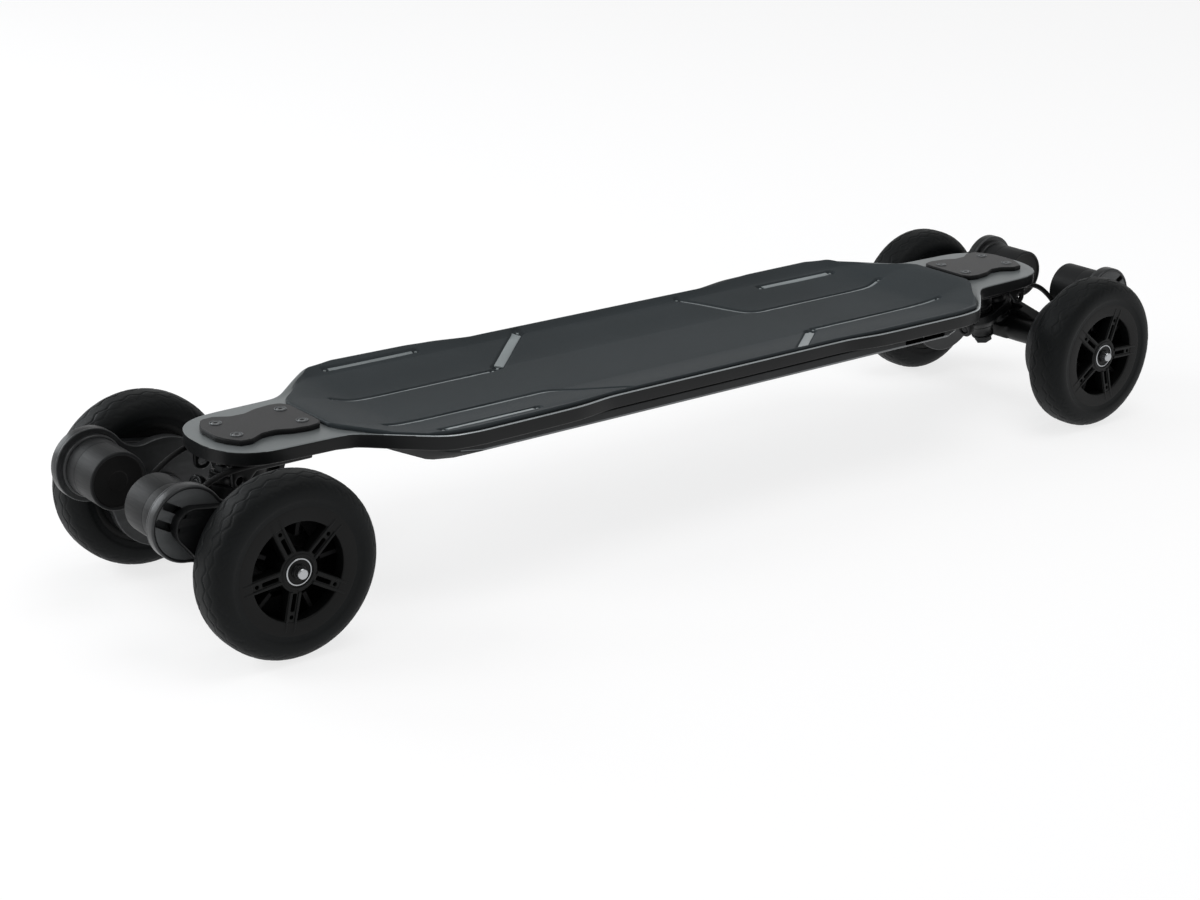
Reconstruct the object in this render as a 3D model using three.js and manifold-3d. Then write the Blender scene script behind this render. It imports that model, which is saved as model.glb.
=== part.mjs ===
// Electric mountainboard: a composite deck on two double kingpin trucks, with a belt drive at each of its four wheels.
// Millimetres, +Z up, +X towards the front. The origin is on the ground below the middle of the deck.

import * as THREE from "three";
import { mergeVertices } from "three/addons/utils/BufferGeometryUtils.js";
import Module from "manifold-3d";

const wasm = await Module();
wasm.setup();

// Driving sizes of the board
const wheelRadius = 80;
const wheelTrack = 296;
const tyreWidth = 44;
const deckLength = 1014;
const deckWidth = 244;
const noseTop = 152;
const neckThickness = 12.5;
const axleInset = 10.5;

// Gap between pieces that touch, and how far a cutting tool runs past what it cuts
const fit = 0.3;
const overrun = 1;
const mergeReach = 1e-4;

// Facets on round pieces, by how large they are
const wheelFacets = 24;
const rimFacets = 20;
const hubFacets = 12;
const pinFacets = 10;
const smallFacets = 8;
const beltFacets = 20;
const motorFacets = 16;

// Deck
const lipRise = 1;
const middleDrop = 6;
const floorDrop = 15.3;
const floorHalfWidth = 43;
const shoulderHalfWidth = 96;
const shoulderRise = 8;
const underFloorInset = 42;
const underShoulderInset = 29;
const floorThickness = 6;
const deckEdgeBevel = 2.5;

// Stations along half the deck, from its middle to its tip: share of the half length, then shares of the half width,
// of the lip's height over the middle, of the floor's drop and of the underside's drop
const deckStationShares = [
  [0, 0.922, 0.86, 1, 1],
  [0.29, 0.922, 0.86, 1, 1],
  [0.365, 0.985, 0.97, 1, 1],
  [0.43, 0.995, 1, 1, 1],
  [0.594, 1, 1, 1, 1],
  [0.648, 0.966, 1, 0.95, 1],
  [0.704, 0.76, 0.95, 0.5, 0.55],
  [0.771, 0.492, 0.857, 0, 0],
  [0.9, 0.475, 0.857, 0, 0],
  [0.945, 0.452, 0.857, 0, 0],
  [0.972, 0.375, 0.857, 0, 0],
  [0.99, 0.25, 0.857, 0, 0],
  [1, 0.1, 0.857, 0, 0],
];
const floorWidthShare = 0.55;
const shoulderWidthShare = 0.9;
const underFloorWidthShare = 0.7;
const underShoulderWidthShare = 0.95;

// Grip pad
const padThickness = 4;
const channelDepth = 1.8;
const channelWidth = 5;
const barWidth = 11;
const padCover = 20;
const padEndGap = 3;

// Half the outline of a pad's end, as shares of the pad's half length and the deck's half width
const padOutlineShares = [
  [1, 0],
  [1, 0.28],
  [0.985, 0.38],
  [0.937, 0.545],
  [0.894, 0.725],
  [0.831, 0.91],
  [0.759, 0.957],
  [0.549, 0.948],
  [0.479, 0.93],
  [0.385, 0.881],
];

// Embossed channels of the grip pad, as shares of the half length and the half width. Each is drawn once and turned
// half a turn for the other end.
const channelShares = [
  [[0.68, -0.36], [0.64, -0.32], [0.335, -0.32]],
  [[0.68, 0.36], [0.64, 0.32], [0.315, 0.32], [0.21, 0.81]],
];
const barShares = [
  [[0.318, -0.36], [0.19, -0.82]],
  [[0.42, 0.72], [0.62, 0.72]],
];
const edgeChannelShares = [
  [[0.42, -0.86], [0.62, -0.86]],
];

// Battery and controller enclosure under the deck
const hullLengthShare = 0.714;
const hullSideInset = 10;
const hullSideBottom = 130;
const hullBottom = 110;
const hullSlopeRun = 46;
const hullWall = 2.8;
const hullSeatDepth = 3;
const hullRimRise = 2.5;
const bayInset = 78;
const baySideInset = 18;

// Stations along half the hull: share of its half length, share of its half width, share of its bottom's drop
const hullStationShares = [
  [0, 1, 1],
  [0.8, 1, 1],
  [0.86, 0.92, 0.97],
  [0.93, 0.7, 0.65],
  [1, 0.48, 0.3],
];
const hullLeastSideShare = 0.4;

// Charging and power panel in the near side of the enclosure
const panelInset = 78;
const panelLength = 56;
const panelHeight = 6.4;
const panelMiddle = 134.6;
const panelDepth = 8;
const socketLength = 18;
const socketHeight = 4.6;
const socketDepth = 6;
const socketInset = 5;
const buttonRadius = 2.9;
const buttonInset = 25;
const buttonProud = 2.4;
const buttonTravel = 1.5;
const buttonLength = 7;

// Battery pack of round cells and the motor controller
const cellRadius = 8.5;
const cellLength = 65;
const cellPitch = 16.8;
const cellFacets = 8;
const packGap = 6;
const wiringRoom = 12;
const controllerLength = 150;
const controllerSideGap = 8;
const controllerBase = 6;
const controllerHeight = 15;
const controllerFins = 9;
const finShare = 0.5;

// Truck cover plates on the nose and tail
const coverLength = 94;
const coverHalfWidth = 36;
const coverThickness = 5;
const coverBevel = 1.5;
const coverInset = 13;
const coverOutlineShares = [
  [0, 0.72],
  [0.05, 0.92],
  [0.15, 0.97],
  [0.33, 0.9],
  [0.47, 0.74],
  [0.62, 0.76],
  [0.76, 0.98],
  [0.88, 0.95],
  [0.96, 0.62],
  [1, 0.34],
];

// Truck: all of it leans by one angle, and the two hinges lie square to the kingpins
const truckLean = THREE.MathUtils.degToRad(16);
const innerKingpinBack = 29.4;
const outerKingpinBack = 1.8;
const innerHingeRise = 20.6;
const outerHingeRise = 29.4;
const axleRadius = 5;
const axleProud = 5;
const axleNutRadius = 7.2;
const axleNutHeight = 6.5;
const axleSpacerRadius = 7;

// Baseplate
const plateThickness = 9;
const plateInset = 8.5;
const plateLength = 83;
const plateHalfWidth = 32;
const plateCorner = 8;
const railThickness = 5;
const railBottom = 127;
const railEyeRadius = 8;
const railEyeHole = 4;
const railEyeHeight = 121;
const bossRadius = 15;
const legThickness = 7;
const legHalfWidth = 11;
const legReach = 7;

// Knuckle between the two kingpins
const innerRingRadius = 20;
const outerRingRadius = 16;
const innerRingThickness = 9;
const outerRingThickness = 6;
const skirtRadius = 15.5;
const skirtTopRadius = 19.4;
const skirtHeight = 6;
const knuckleSkirtLap = 3.6;
const cupWall = 0.8;
const pivotNoseRadius = 5;
const pivotNoseLength = 6;
const ringSwing = 1;

// Kingpins, washers and nuts
const innerShankRadius = 5;
const outerShankRadius = 4;
const innerWasherRadius = 12;
const outerWasherRadius = 10;
const washerThickness = 2;
const innerNutRadius = 9.4;
const innerNutHeight = 7;
const outerNutRadius = 7.4;
const outerNutHeight = 5.5;
const pinTip = 2.5;
const pinHeadRadius = 8;
const pinHeadHeight = 5;
const pinHeadCover = 4;

// Bushings
const innerLowerBushingHeight = 12;
const innerUpperBushingHeight = 13;
const outerLowerBushingHeight = 8;
const outerUpperBushingHeight = 7;
const innerBushingRadius = 14;
const outerBushingRadius = 11;
const bushingWaist = 1.2;

// Hanger
const hangerRadius = 12;
const hangerMiddleRadius = 13;
const hangerMiddleHalf = 30;
const hangerLap = 4;
const webInset = 24;
const webFootRise = 9.5;
const webCrestHalf = 14;
const webCrestRise = 22.5;
const towerHalf = 11;
const towerRise = 37;
const webShoulder = 8;
const webBack = 7;
const webSwing = 22;
const towerThickness = 7;
const seatRadius = 11.5;
const seatSwing = 2.3;
const kingpinSocketDepth = 9;

// Wheel
const rimRadius = 56;
const rimInner = 49;
const rimLip = 43;
const rimInset = 1.5;
const rimDepth = 40;
const faceThickness = 13;
const hubRadius = 16;
const hubInset = 2;
const spokeCount = 5;
const spokeHalfWidth = 7.8;
const spokeSlotHalf = 4.8;
const spokeSlotFrom = 18.5;
const spokeSlotTo = 36;
const bearingRadius = 11;
const bearingWidth = 7;
const bearingInset = 8;
const spacerTubeRadius = 7;
const tyreProfileShares = [
  [0, 0.05],
  [0.5, 0],
  [0.85, 0.13],
  [1, 0.34],
];

// Belt drive
const toothPitch = 5;
const wheelTeeth = 42;
const motorTeeth = 14;
const toothDepth = 2;
const pitchLineDrop = 0.57;
const beltWidth = 15;
const beltThickness = 2.6;
const beltGap = 0.35;
const beltSideGap = 0.6;
const pulleySideGap = 1;
const pulleyRimThickness = 4.5;
const pulleyWeb = 4;
const motorPulleyFlange = 2.2;
const motorShaftRadius = 4;
const motorShaftDepth = 12;
const motorAhead = 67.5;
const motorRise = 39.4;

// Drive housing
const housingWall = 2.5;
const housingStep = 1.5;
const motorFlangeRadius = 33;
const axleDrumRadius = 50;
const waistFillet = 24;
const housingTier = 11;
const housingCover = 2.1;
const housingWeb = 2.3;
const coverOpening = 39.5;
const padHeight = 5;
const tyreGap = 3;
const collarRadius = 17;
const ventCount = 2;
const ventWidth = 4.2;
const ventLength = 8;
const ventSpread = THREE.MathUtils.degToRad(24);
const ventAim = THREE.MathUtils.degToRad(-22);
const glandRadius = 4.4;
const glandLength = 3;

// Motor
const motorRadius = 26;
const motorLength = 45.4;
const motorBevel = 2;
const motorFaceDish = 1.2;
const motorRimWidth = 2.2;

// Motor cable, from the end of the enclosure to the gland on the drive housing. These points are the front left route,
// with their places along the board counted from the axle.
const cableRadius = 2.75;
const cableSides = 6;
const cableSteps = 12;
const cablePoints = [
  [-134.1, 40, 132.2],
  [-120, 40, 132.9],
  [-98, 40, 135],
  [-60, 39.5, 135.6],
  [-28, 39, 135.6],
  [-8.5, 38, 134.5],
  [8.5, 36, 131],
  [22.5, 35, 124.5],
  [34, 37, 114.5],
  [41.5, 42, 103.5],
  [45.5, 51, 98.5],
  [46, 61, 96.5],
  [46, 71.7, 96.5],
];

// Places worked out from the driving sizes
const halfDeck = deckLength / 2;
const axleX = halfDeck - axleInset;
const cableRoute = cablePoints.map(([ahead, y, z]) => [axleX + ahead, y, z]);
const halfDeckWidth = deckWidth / 2;
const underFloorHalfWidth = halfDeckWidth - underFloorInset;
const underShoulderHalfWidth = halfDeckWidth - underShoulderInset;
const neckBottom = noseTop - neckThickness;
const lipTop = noseTop + lipRise;
const middleTop = lipTop - lipRise - middleDrop;
const floorTop = noseTop - floorDrop;
const floorBottom = floorTop - floorThickness;
const motorX = axleX + motorAhead;
const motorZ = wheelRadius + motorRise;

// Places along the axle, from the end of the axle inwards
const halfTrack = wheelTrack / 2;
const axleTip = halfTrack + axleProud;
const hubFace = halfTrack - hubInset;
const outerBearingFace = halfTrack - bearingInset;
const tyreInnerFace = halfTrack - tyreWidth;
const innerBearingFace = tyreInnerFace - beltWidth + pulleySideGap;
const housingOuter = tyreInnerFace - tyreGap;
const coverInner = housingOuter - housingCover;
const beltOuter = coverInner - beltSideGap;
const beltInner = beltOuter - beltWidth;
const pulleyInner = beltInner - pulleySideGap / 2;
const webOuter = beltInner - pulleySideGap;
const housingInner = webOuter - housingWeb;
const tierEnd = housingInner + housingTier;
const motorPadFace = housingInner - padHeight;
const motorEnd = motorPadFace - motorLength;
const hangerEnd = housingInner + hangerLap;

// Places in the enclosure, whose ends meet the deck's necks, with as many cells as its bay takes
const hullHalfWidth = halfDeckWidth - hullSideInset;
const hullBottomHalfWidth = hullHalfWidth - hullSlopeRun;
const bayHalfWidth = hullHalfWidth - baySideInset;
const cellColumns = Math.floor((2 * hullBottomHalfWidth + cellRadius) / cellPitch);
const controllerWidth = 2 * (hullBottomHalfWidth - controllerSideGap);
const hullHalf = halfDeck * hullLengthShare;
const bayHalf = hullHalf - bayInset;
const cellRows = Math.floor((2 * (bayHalf - packGap) - wiringRoom - controllerLength) / cellLength);
const packBack = packGap - bayHalf;
const packFront = packBack + cellRows * cellLength;
const controllerBack = packFront + wiringRoom;
const panelFront = hullHalf - panelInset;
const panelBack = panelFront - panelLength;
const coverFront = halfDeck - coverInset;
const coverBack = coverFront - coverLength;
const padHalf = coverBack - padEndGap;
const plateFront = axleX - plateInset;
const plateBack = plateFront - plateLength;

// Finishes
const finish = (color, roughness, metalness) =>
  new THREE.MeshStandardMaterial({ color, roughness, metalness, flatShading: true });
const satinShell = finish(0x6c7072, 0.45, 0.1);
const blackShell = finish(0x26282a, 0.5, 0.1);
const foam = finish(0x3c4043, 0.85, 0);
const blackPlate = finish(0x2a2b2d, 0.45, 0.3);
const blackAluminium = finish(0x2b2d2f, 0.4, 0.7);
const canAluminium = finish(0x474849, 0.35, 0.7);
const steel = finish(0xb8babc, 0.3, 1);
const tyreRubber = finish(0x242627, 0.8, 0);
const rimNylon = finish(0x262728, 0.6, 0);
const beltRubber = finish(0x1c1c1d, 0.85, 0);
const urethane = finish(0x1f2022, 0.6, 0);
const cableSleeve = finish(0x141415, 0.7, 0);
const cellWrap = finish(0x2f5d8a, 0.5, 0);

// Frames: where a profile's own axes point
const at = (x, y, z) => new THREE.Vector3(x, y, z);
const place = (origin, first, second, third) =>
  new THREE.Matrix4().makeBasis(first, second, third).setPosition(origin);
const alongX = at(1, 0, 0);
const alongY = at(0, 1, 0);
const alongZ = at(0, 0, 1);
const hingeAxis = at(Math.cos(truckLean), 0, Math.sin(truckLean));
const kingpinAxis = at(-Math.sin(truckLean), 0, Math.cos(truckLean));
const axleCentre = at(axleX, 0, wheelRadius);
const motorCentre = at(motorX, 0, motorZ);

// A point of the leaning truck: so far ahead of the axle along the hinge axis, and so far up along the kingpins
const truckPoint = (ahead, rise) =>
  axleCentre.clone().addScaledVector(hingeAxis, ahead).addScaledVector(kingpinAxis, rise);

const sideView = (origin) => place(origin, alongX, alongZ, alongY);
const crossSection = (origin) => place(origin, alongY, alongZ, alongX);
const truckPlan = place(axleCentre, hingeAxis, alongY, kingpinAxis);
const truckCrossSection = place(axleCentre, alongY, kingpinAxis, hingeAxis);
const roundKingpin = (ahead) => place(truckPoint(ahead, 0), hingeAxis, kingpinAxis, alongY);
const roundHinge = (rise) => place(truckPoint(0, rise), kingpinAxis, hingeAxis, alongY);
const roundAxle = new THREE.Matrix4().setPosition(axleCentre);
const roundMotor = new THREE.Matrix4().setPosition(motorCentre);
const flat = new THREE.Matrix4();

// Turns a geometry into a solid, with its shared corners merged and its faces turned out
function solidOf(geometry, frame = flat) {
  const bare = geometry.clone();
  bare.deleteAttribute("normal");
  bare.deleteAttribute("uv");
  bare.applyMatrix4(frame);
  const merged = mergeVertices(bare, mergeReach);
  const corners = Uint32Array.from(merged.index.array);
  const make = () =>
    new wasm.Manifold(
      new wasm.Mesh({ numProp: 3, vertProperties: merged.attributes.position.array, triVerts: corners }),
    );
  if (frame.determinant() < 0) {
    for (let i = 0; i < corners.length; i += 3) {
      [corners[i + 1], corners[i + 2]] = [corners[i + 2], corners[i + 1]];
    }
  }
  return make();
}

// Straight body with the given outline, from one height to another
function prism(outline, from, to, frame, holes = []) {
  const shape = new THREE.Shape(outline.map(([x, y]) => new THREE.Vector2(x, y)));
  shape.holes = holes.map((hole) => new THREE.Path(hole.map(([x, y]) => new THREE.Vector2(x, y))));
  const body = new THREE.ExtrudeGeometry(shape, { depth: to - from, bevelEnabled: false });
  body.translate(0, 0, from);
  return solidOf(body, frame);
}

// Turned body: the profile lists radius and height, going up the outside, and closes on the axis or on itself
function turned(profile, facets, frame) {
  const points = profile.map(([radius, height]) => new THREE.Vector2(radius, height));
  const closed = points[0].x > 0;
  const loop = closed ? [...points, points[0].clone()] : points;
  return solidOf(new THREE.LatheGeometry(loop, facets, Math.PI / facets), frame);
}

const disc = (radius, from, to, facets, frame) =>
  turned([[0, from], [radius, from], [radius, to], [0, to]], facets, frame);

const tube = (inner, outer, from, to, facets, frame) =>
  turned([[inner, from], [outer, from], [outer, to], [inner, to]], facets, frame);

const box = (x0, x1, y0, y1, z0, z1) => prism([[x0, y0], [x1, y0], [x1, y1], [x0, y1]], z0, z1, flat);

// Radius at which the flats, not the corners, of a faceted round lie at the given radius
const across = (radius, facets) => radius / Math.cos(Math.PI / facets);

const arc = (cx, cy, radius, from, to, steps) =>
  Array.from({ length: steps + 1 }, (_, i) => {
    const angle = from + ((to - from) * i) / steps;
    return [cx + radius * Math.cos(angle), cy + radius * Math.sin(angle)];
  });

// Outline of a band pulled tight round two circles
function bandOutline([ax, ay], ra, [bx, by], rb, stepsA, stepsB) {
  const apart = Math.hypot(bx - ax, by - ay);
  const aim = Math.atan2(by - ay, bx - ax);
  const lift = Math.acos((ra - rb) / apart);
  return [
    ...arc(ax, ay, ra, aim + lift, aim + 2 * Math.PI - lift, stepsA),
    ...arc(bx, by, rb, aim - lift, aim + lift, stepsB),
  ];
}

// Outline of two circles joined by hollow fillets
function waistedOutline([ax, ay], ra, [bx, by], rb, fillet, stepsA, stepsB, stepsFillet) {
  const apart = Math.hypot(bx - ax, by - ay);
  const aim = Math.atan2(by - ay, bx - ax);
  const reachA = ra + fillet;
  const reachB = rb + fillet;
  const openA = Math.acos((apart ** 2 + reachA ** 2 - reachB ** 2) / (2 * apart * reachA));
  const openB = Math.acos((apart ** 2 + reachB ** 2 - reachA ** 2) / (2 * apart * reachB));
  const hollow = (turn, from, to) => {
    const cx = ax + reachA * Math.cos(aim + turn);
    const cy = ay + reachA * Math.sin(aim + turn);
    return arc(cx, cy, fillet, from, to, stepsFillet).slice(1, -1);
  };
  return [
    ...arc(ax, ay, ra, aim + openA, aim + 2 * Math.PI - openA, stepsA),
    ...hollow(-openA, aim + Math.PI - openA, aim + openB),
    ...arc(bx, by, rb, aim + Math.PI + openB, aim + 3 * Math.PI - openB, stepsB),
    ...hollow(openA, aim - openB, aim + openA - Math.PI),
  ];
}

// Outline of a stroke of one width along a line of points
function strokeOutline(line, width) {
  const side = (sign) =>
    line.map(([x, y], i) => {
      const before = line[Math.max(i - 1, 0)];
      const after = line[Math.min(i + 1, line.length - 1)];
      const unit = ([ax, ay], [bx, by]) => {
        const length = Math.hypot(bx - ax, by - ay) || 1;
        return [(bx - ax) / length, (by - ay) / length];
      };
      const [ux, uy] = i > 0 ? unit(before, [x, y]) : unit([x, y], after);
      const [vx, vy] = i < line.length - 1 ? unit([x, y], after) : unit(before, [x, y]);
      const mx = -(uy + vy);
      const my = ux + vx;
      const scale = (sign * width) / (1 + ux * vx + uy * vy) / 2;
      return [x + mx * scale, y + my * scale];
    });
  return [...side(-1), ...side(1).reverse()];
}

// Body through a row of cross sections with as many points each, capped by fans
function loft(sections) {
  const count = sections[0].length;
  const rings = sections.length;
  const corners = sections.flat().flatMap((point) => point.toArray());
  const faces = [];
  for (let ring = 0; ring + 1 < rings; ring++) {
    for (let i = 0; i < count; i++) {
      const next = (i + 1) % count;
      const a = ring * count;
      const b = a + count;
      faces.push(a + i, b + i, b + next, a + i, b + next, a + next);
    }
  }
  for (const [ring, turn] of [[0, 1], [rings - 1, -1]]) {
    const middle = corners.length / 3;
    const centre = sections[ring].reduce((sum, point) => sum.add(point), at(0, 0, 0)).divideScalar(count);
    corners.push(...centre.toArray());
    for (let i = 0; i < count; i++) {
      const edge = [ring * count + i, ring * count + ((i + 1) % count)];
      faces.push(middle, ...(turn > 0 ? edge : edge.reverse()));
    }
  }
  const body = new THREE.BufferGeometry();
  body.setAttribute("position", new THREE.Float32BufferAttribute(corners, 3));
  body.setIndex(faces);
  return body;
}

const joined = (solids) => solids.reduce((sum, solid) => sum.add(solid));
const cut = (solid, tools) => tools.reduce((rest, tool) => rest.subtract(tool), solid);

// A named mesh that shows a solid
function meshOf(name, solid, material) {
  const mesh = solid.getMesh();
  const geometry = new THREE.BufferGeometry();
  const places = new Float32Array(mesh.numVert * 3);
  for (let i = 0; i < mesh.numVert; i++) {
    places.set(mesh.vertProperties.subarray(i * mesh.numProp, i * mesh.numProp + 3), i * 3);
  }
  geometry.setAttribute("position", new THREE.BufferAttribute(places, 3));
  geometry.setIndex(Array.from(mesh.triVerts));
  geometry.computeVertexNormals();
  const shown = new THREE.Mesh(geometry, material);
  shown.name = name;
  return shown;
}

// Mirrors a list of stations along half a length into the whole length
const bothEnds = (stations) => [
  ...stations.slice(1).reverse().map(([along, ...rest]) => [-along, ...rest]),
  ...stations,
];

function deckGeometry(lift = 0) {
  const sections = bothEnds(deckStationShares).map(([along, width, lip, floor, under]) => {
    const half = halfDeckWidth * width;
    const edge = half - deckEdgeBevel;
    const top = middleTop + (lipTop - middleTop) * lip + lift;
    const well = noseTop + (floorTop - noseTop) * floor + lift;
    const foot = neckBottom + (floorBottom - neckBottom) * under + lift;
    const wellHalf = Math.min(floorHalfWidth, half * floorWidthShare);
    const shoulderHalf = Math.min(shoulderHalfWidth, edge * shoulderWidthShare);
    const footHalf = Math.min(underFloorHalfWidth, half * underFloorWidthShare);
    const underShoulderHalf = Math.min(underShoulderHalfWidth, edge * underShoulderWidthShare);
    const skirt = neckBottom + lift;
    const right = [
      [wellHalf, Math.min(well, top)],
      [shoulderHalf, Math.min(well + shoulderRise * floor, top)],
      [edge, top],
      [half, top - deckEdgeBevel],
      [half, skirt + deckEdgeBevel],
      [edge, skirt],
      [underShoulderHalf, skirt],
      [footHalf, foot],
    ];
    const left = right.map(([y, z]) => [-y, z]).reverse();
    return [...right, ...left].map(([y, z]) => at(halfDeck * along, y, z));
  });
  return loft(sections);
}

const deckSolid = (lift) => solidOf(deckGeometry(lift));

function gripPad() {
  const toDeck = ([x, y]) => [x * halfDeck, y * halfDeckWidth];
  const quarter = padOutlineShares.map(([x, y]) => [x * padHalf, y * halfDeckWidth]);
  const half = [...quarter, ...quarter.map(([x, y]) => [-x, y]).reverse()];
  const outline = [...half.slice(1, -1), ...half.slice(1, -1).map(([x, y]) => [x, -y]).reverse()];
  const lift = fit + padThickness;
  const low = floorBottom;
  const high = lipTop + padCover;
  const groove = (shares, width) => {
    const line = shares.map(toDeck);
    return [line, line.map(([x, y]) => [-x, -y])].map((way) => prism(strokeOutline(way, width), low, high, flat));
  };
  const grooves = joined([
    ...channelShares.flatMap((shares) => groove(shares, channelWidth)),
    ...barShares.flatMap((shares) => groove(shares, barWidth)),
    ...edgeChannelShares.flatMap((shares) => groove(shares, channelWidth)),
  ]).subtract(deckSolid(lift - channelDepth));
  const sheet = prism(outline, low, high, flat).intersect(deckSolid(lift)).subtract(deckSolid(fit));
  return sheet.subtract(grooves);
}

function enclosure() {
  const rimTop = neckBottom + hullRimRise;
  const hullSeat = floorBottom + hullSeatDepth;
  const sections = bothEnds(hullStationShares).map(([along, width, drop]) => {
    const half = hullHalfWidth * width;
    const low = hullBottomHalfWidth * width;
    const side = neckBottom + (hullSideBottom - neckBottom) * Math.max(drop, hullLeastSideShare);
    const bottom = neckBottom + (hullBottom - neckBottom) * drop;
    const inner = Math.min(underFloorHalfWidth, half * underFloorWidthShare);
    const outer = Math.min(underShoulderHalfWidth, half * underShoulderWidthShare);
    const seat = hullSeat + (rimTop - hullSeat) * (1 - drop);
    const right = [
      [inner, seat],
      [outer, rimTop],
      [half, rimTop],
      [half, Math.max(side, bottom + overrun)],
      [low, bottom],
    ];
    const left = right.map(([y, z]) => [-y, z]).reverse();
    return [...right, ...left].map(([y, z]) => at(hullHalf * along, y, z));
  });
  const slope = (hullSideBottom - hullBottom) / (hullHalfWidth - hullBottomHalfWidth);
  const bayFloor = hullBottom + hullWall;
  const bayEdge = hullSideBottom - (hullHalfWidth - bayHalfWidth) * slope + hullWall;
  const bay = prism(
    [
      [-bayHalfWidth, noseTop],
      [-bayHalfWidth, bayEdge],
      [-hullBottomHalfWidth, bayFloor],
      [hullBottomHalfWidth, bayFloor],
      [bayHalfWidth, bayEdge],
      [bayHalfWidth, noseTop],
    ],
    -bayHalf,
    bayHalf,
    crossSection(at(0, 0, 0)),
  );
  const panelFace = panelDepth - hullHalfWidth;
  const panel = box(
    panelBack, panelFront, -hullHalfWidth - overrun, panelFace,
    panelMiddle - panelHeight / 2, panelMiddle + panelHeight / 2,
  );
  const socketBack = panelBack + socketInset;
  const socket = box(
    socketBack, socketBack + socketLength, panelFace - overrun, panelFace + socketDepth,
    panelMiddle - socketHeight / 2, panelMiddle + socketHeight / 2,
  );
  const buttonWell = disc(
    buttonRadius + fit, panelFace - overrun, panelFace + buttonLength - buttonProud + buttonTravel + fit,
    smallFacets, new THREE.Matrix4().setPosition(panelFront - buttonInset, 0, panelMiddle),
  );
  return cut(solidOf(loft(sections)), [deckSolid(-fit), bay, panel, socket, buttonWell]);
}

function powerButton() {
  const face = panelDepth - hullHalfWidth - buttonProud;
  const crown = buttonRadius / 4;
  return turned(
    [[0, face], [buttonRadius - crown, face], [buttonRadius, face + crown], [buttonRadius, face + buttonLength],
      [0, face + buttonLength]],
    smallFacets,
    new THREE.Matrix4().setPosition(panelFront - buttonInset, 0, panelMiddle),
  );
}

// Cells side by side in their wrap, so the pack has rounded ridges above and below
function batteryPack() {
  const bottom = hullBottom + hullWall + fit + cellRadius;
  const first = (-(cellColumns - 1) / 2) * cellPitch;
  const lift = Math.acos(cellPitch / 2 / cellRadius);
  const ridge = (column, from, to) =>
    arc(first + column * cellPitch, bottom, cellRadius, from, to, cellFacets / 2).slice(0, -1);
  const upper = [];
  const lower = [];
  for (let column = 0; column < cellColumns; column++) {
    const start = column === cellColumns - 1 ? 0 : lift;
    const end = column === 0 ? Math.PI : Math.PI - lift;
    upper.unshift(...ridge(column, start, end));
    lower.push(...ridge(column, column === 0 ? Math.PI : Math.PI + lift,
      column === cellColumns - 1 ? 2 * Math.PI : 2 * Math.PI - lift));
  }
  const outline = [...upper, ...lower];
  return prism(outline, packBack, packFront, crossSection(at(0, 0, 0)));
}

// Controller with a comb of cooling fins
function controller() {
  const bottom = hullBottom + hullWall + fit;
  const pitch = controllerWidth / controllerFins;
  const fin = pitch * finShare;
  const start = -controllerWidth / 2 + (pitch - fin) / 2;
  const comb = Array.from({ length: controllerFins }, (_, i) => start + i * pitch).flatMap((y) => [
    [y, bottom + controllerBase],
    [y, bottom + controllerHeight],
    [y + fin, bottom + controllerHeight],
    [y + fin, bottom + controllerBase],
  ]);
  const outline = [
    [-controllerWidth / 2, bottom],
    [-controllerWidth / 2, bottom + controllerBase],
    ...comb,
    [controllerWidth / 2, bottom + controllerBase],
    [controllerWidth / 2, bottom],
  ];
  return prism(outline, controllerBack, controllerBack + controllerLength, crossSection(at(0, 0, 0)));
}

function coverPlate() {
  const ring = (inset, height) => {
    const right = coverOutlineShares.map(([along, width]) => [
      coverBack + inset + (coverLength - 2 * inset) * along,
      (coverHalfWidth - inset) * width,
    ]);
    return [...right, ...right.map(([x, y]) => [x, -y]).reverse()].map(([x, y]) => at(x, y, height));
  };
  const foot = noseTop + fit;
  return solidOf(
    loft([
      ring(0, foot),
      ring(0, foot + coverThickness - coverBevel),
      ring(coverBevel, foot + coverThickness),
    ]),
  );
}

// Heights up the inner kingpin, counted from the axle's level
const innerRingBottom = innerHingeRise - innerRingThickness / 2;
const innerRingTop = innerHingeRise + innerRingThickness / 2;
const innerLowerBushingTop = innerRingBottom - fit;
const innerLowerBushingBottom = innerLowerBushingTop - innerLowerBushingHeight;
const innerWasherTop = innerLowerBushingBottom - fit;
const innerNutTop = innerWasherTop - washerThickness;
const innerUpperBushingBottom = innerRingTop + fit;
const innerUpperBushingTop = innerUpperBushingBottom + innerUpperBushingHeight;
const bossBottom = innerUpperBushingTop + fit;

// Heights up the outer kingpin
const outerRingBottom = outerHingeRise - outerRingThickness / 2;
const outerRingTop = outerHingeRise + outerRingThickness / 2;
const outerLowerBushingTop = outerRingBottom - fit;
const outerLowerBushingBottom = outerLowerBushingTop - outerLowerBushingHeight;
const seatTop = outerLowerBushingBottom - fit;
const outerUpperBushingBottom = outerRingTop + fit;
const outerUpperBushingTop = outerUpperBushingBottom + outerUpperBushingHeight;
const outerWasherBottom = outerUpperBushingTop + fit;

// Rise up the kingpin axis at which a level plane is met, at a place along the hinge axis
const riseAt = (height, ahead) =>
  (height - wheelRadius - ahead * Math.sin(truckLean)) / Math.cos(truckLean);

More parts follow.
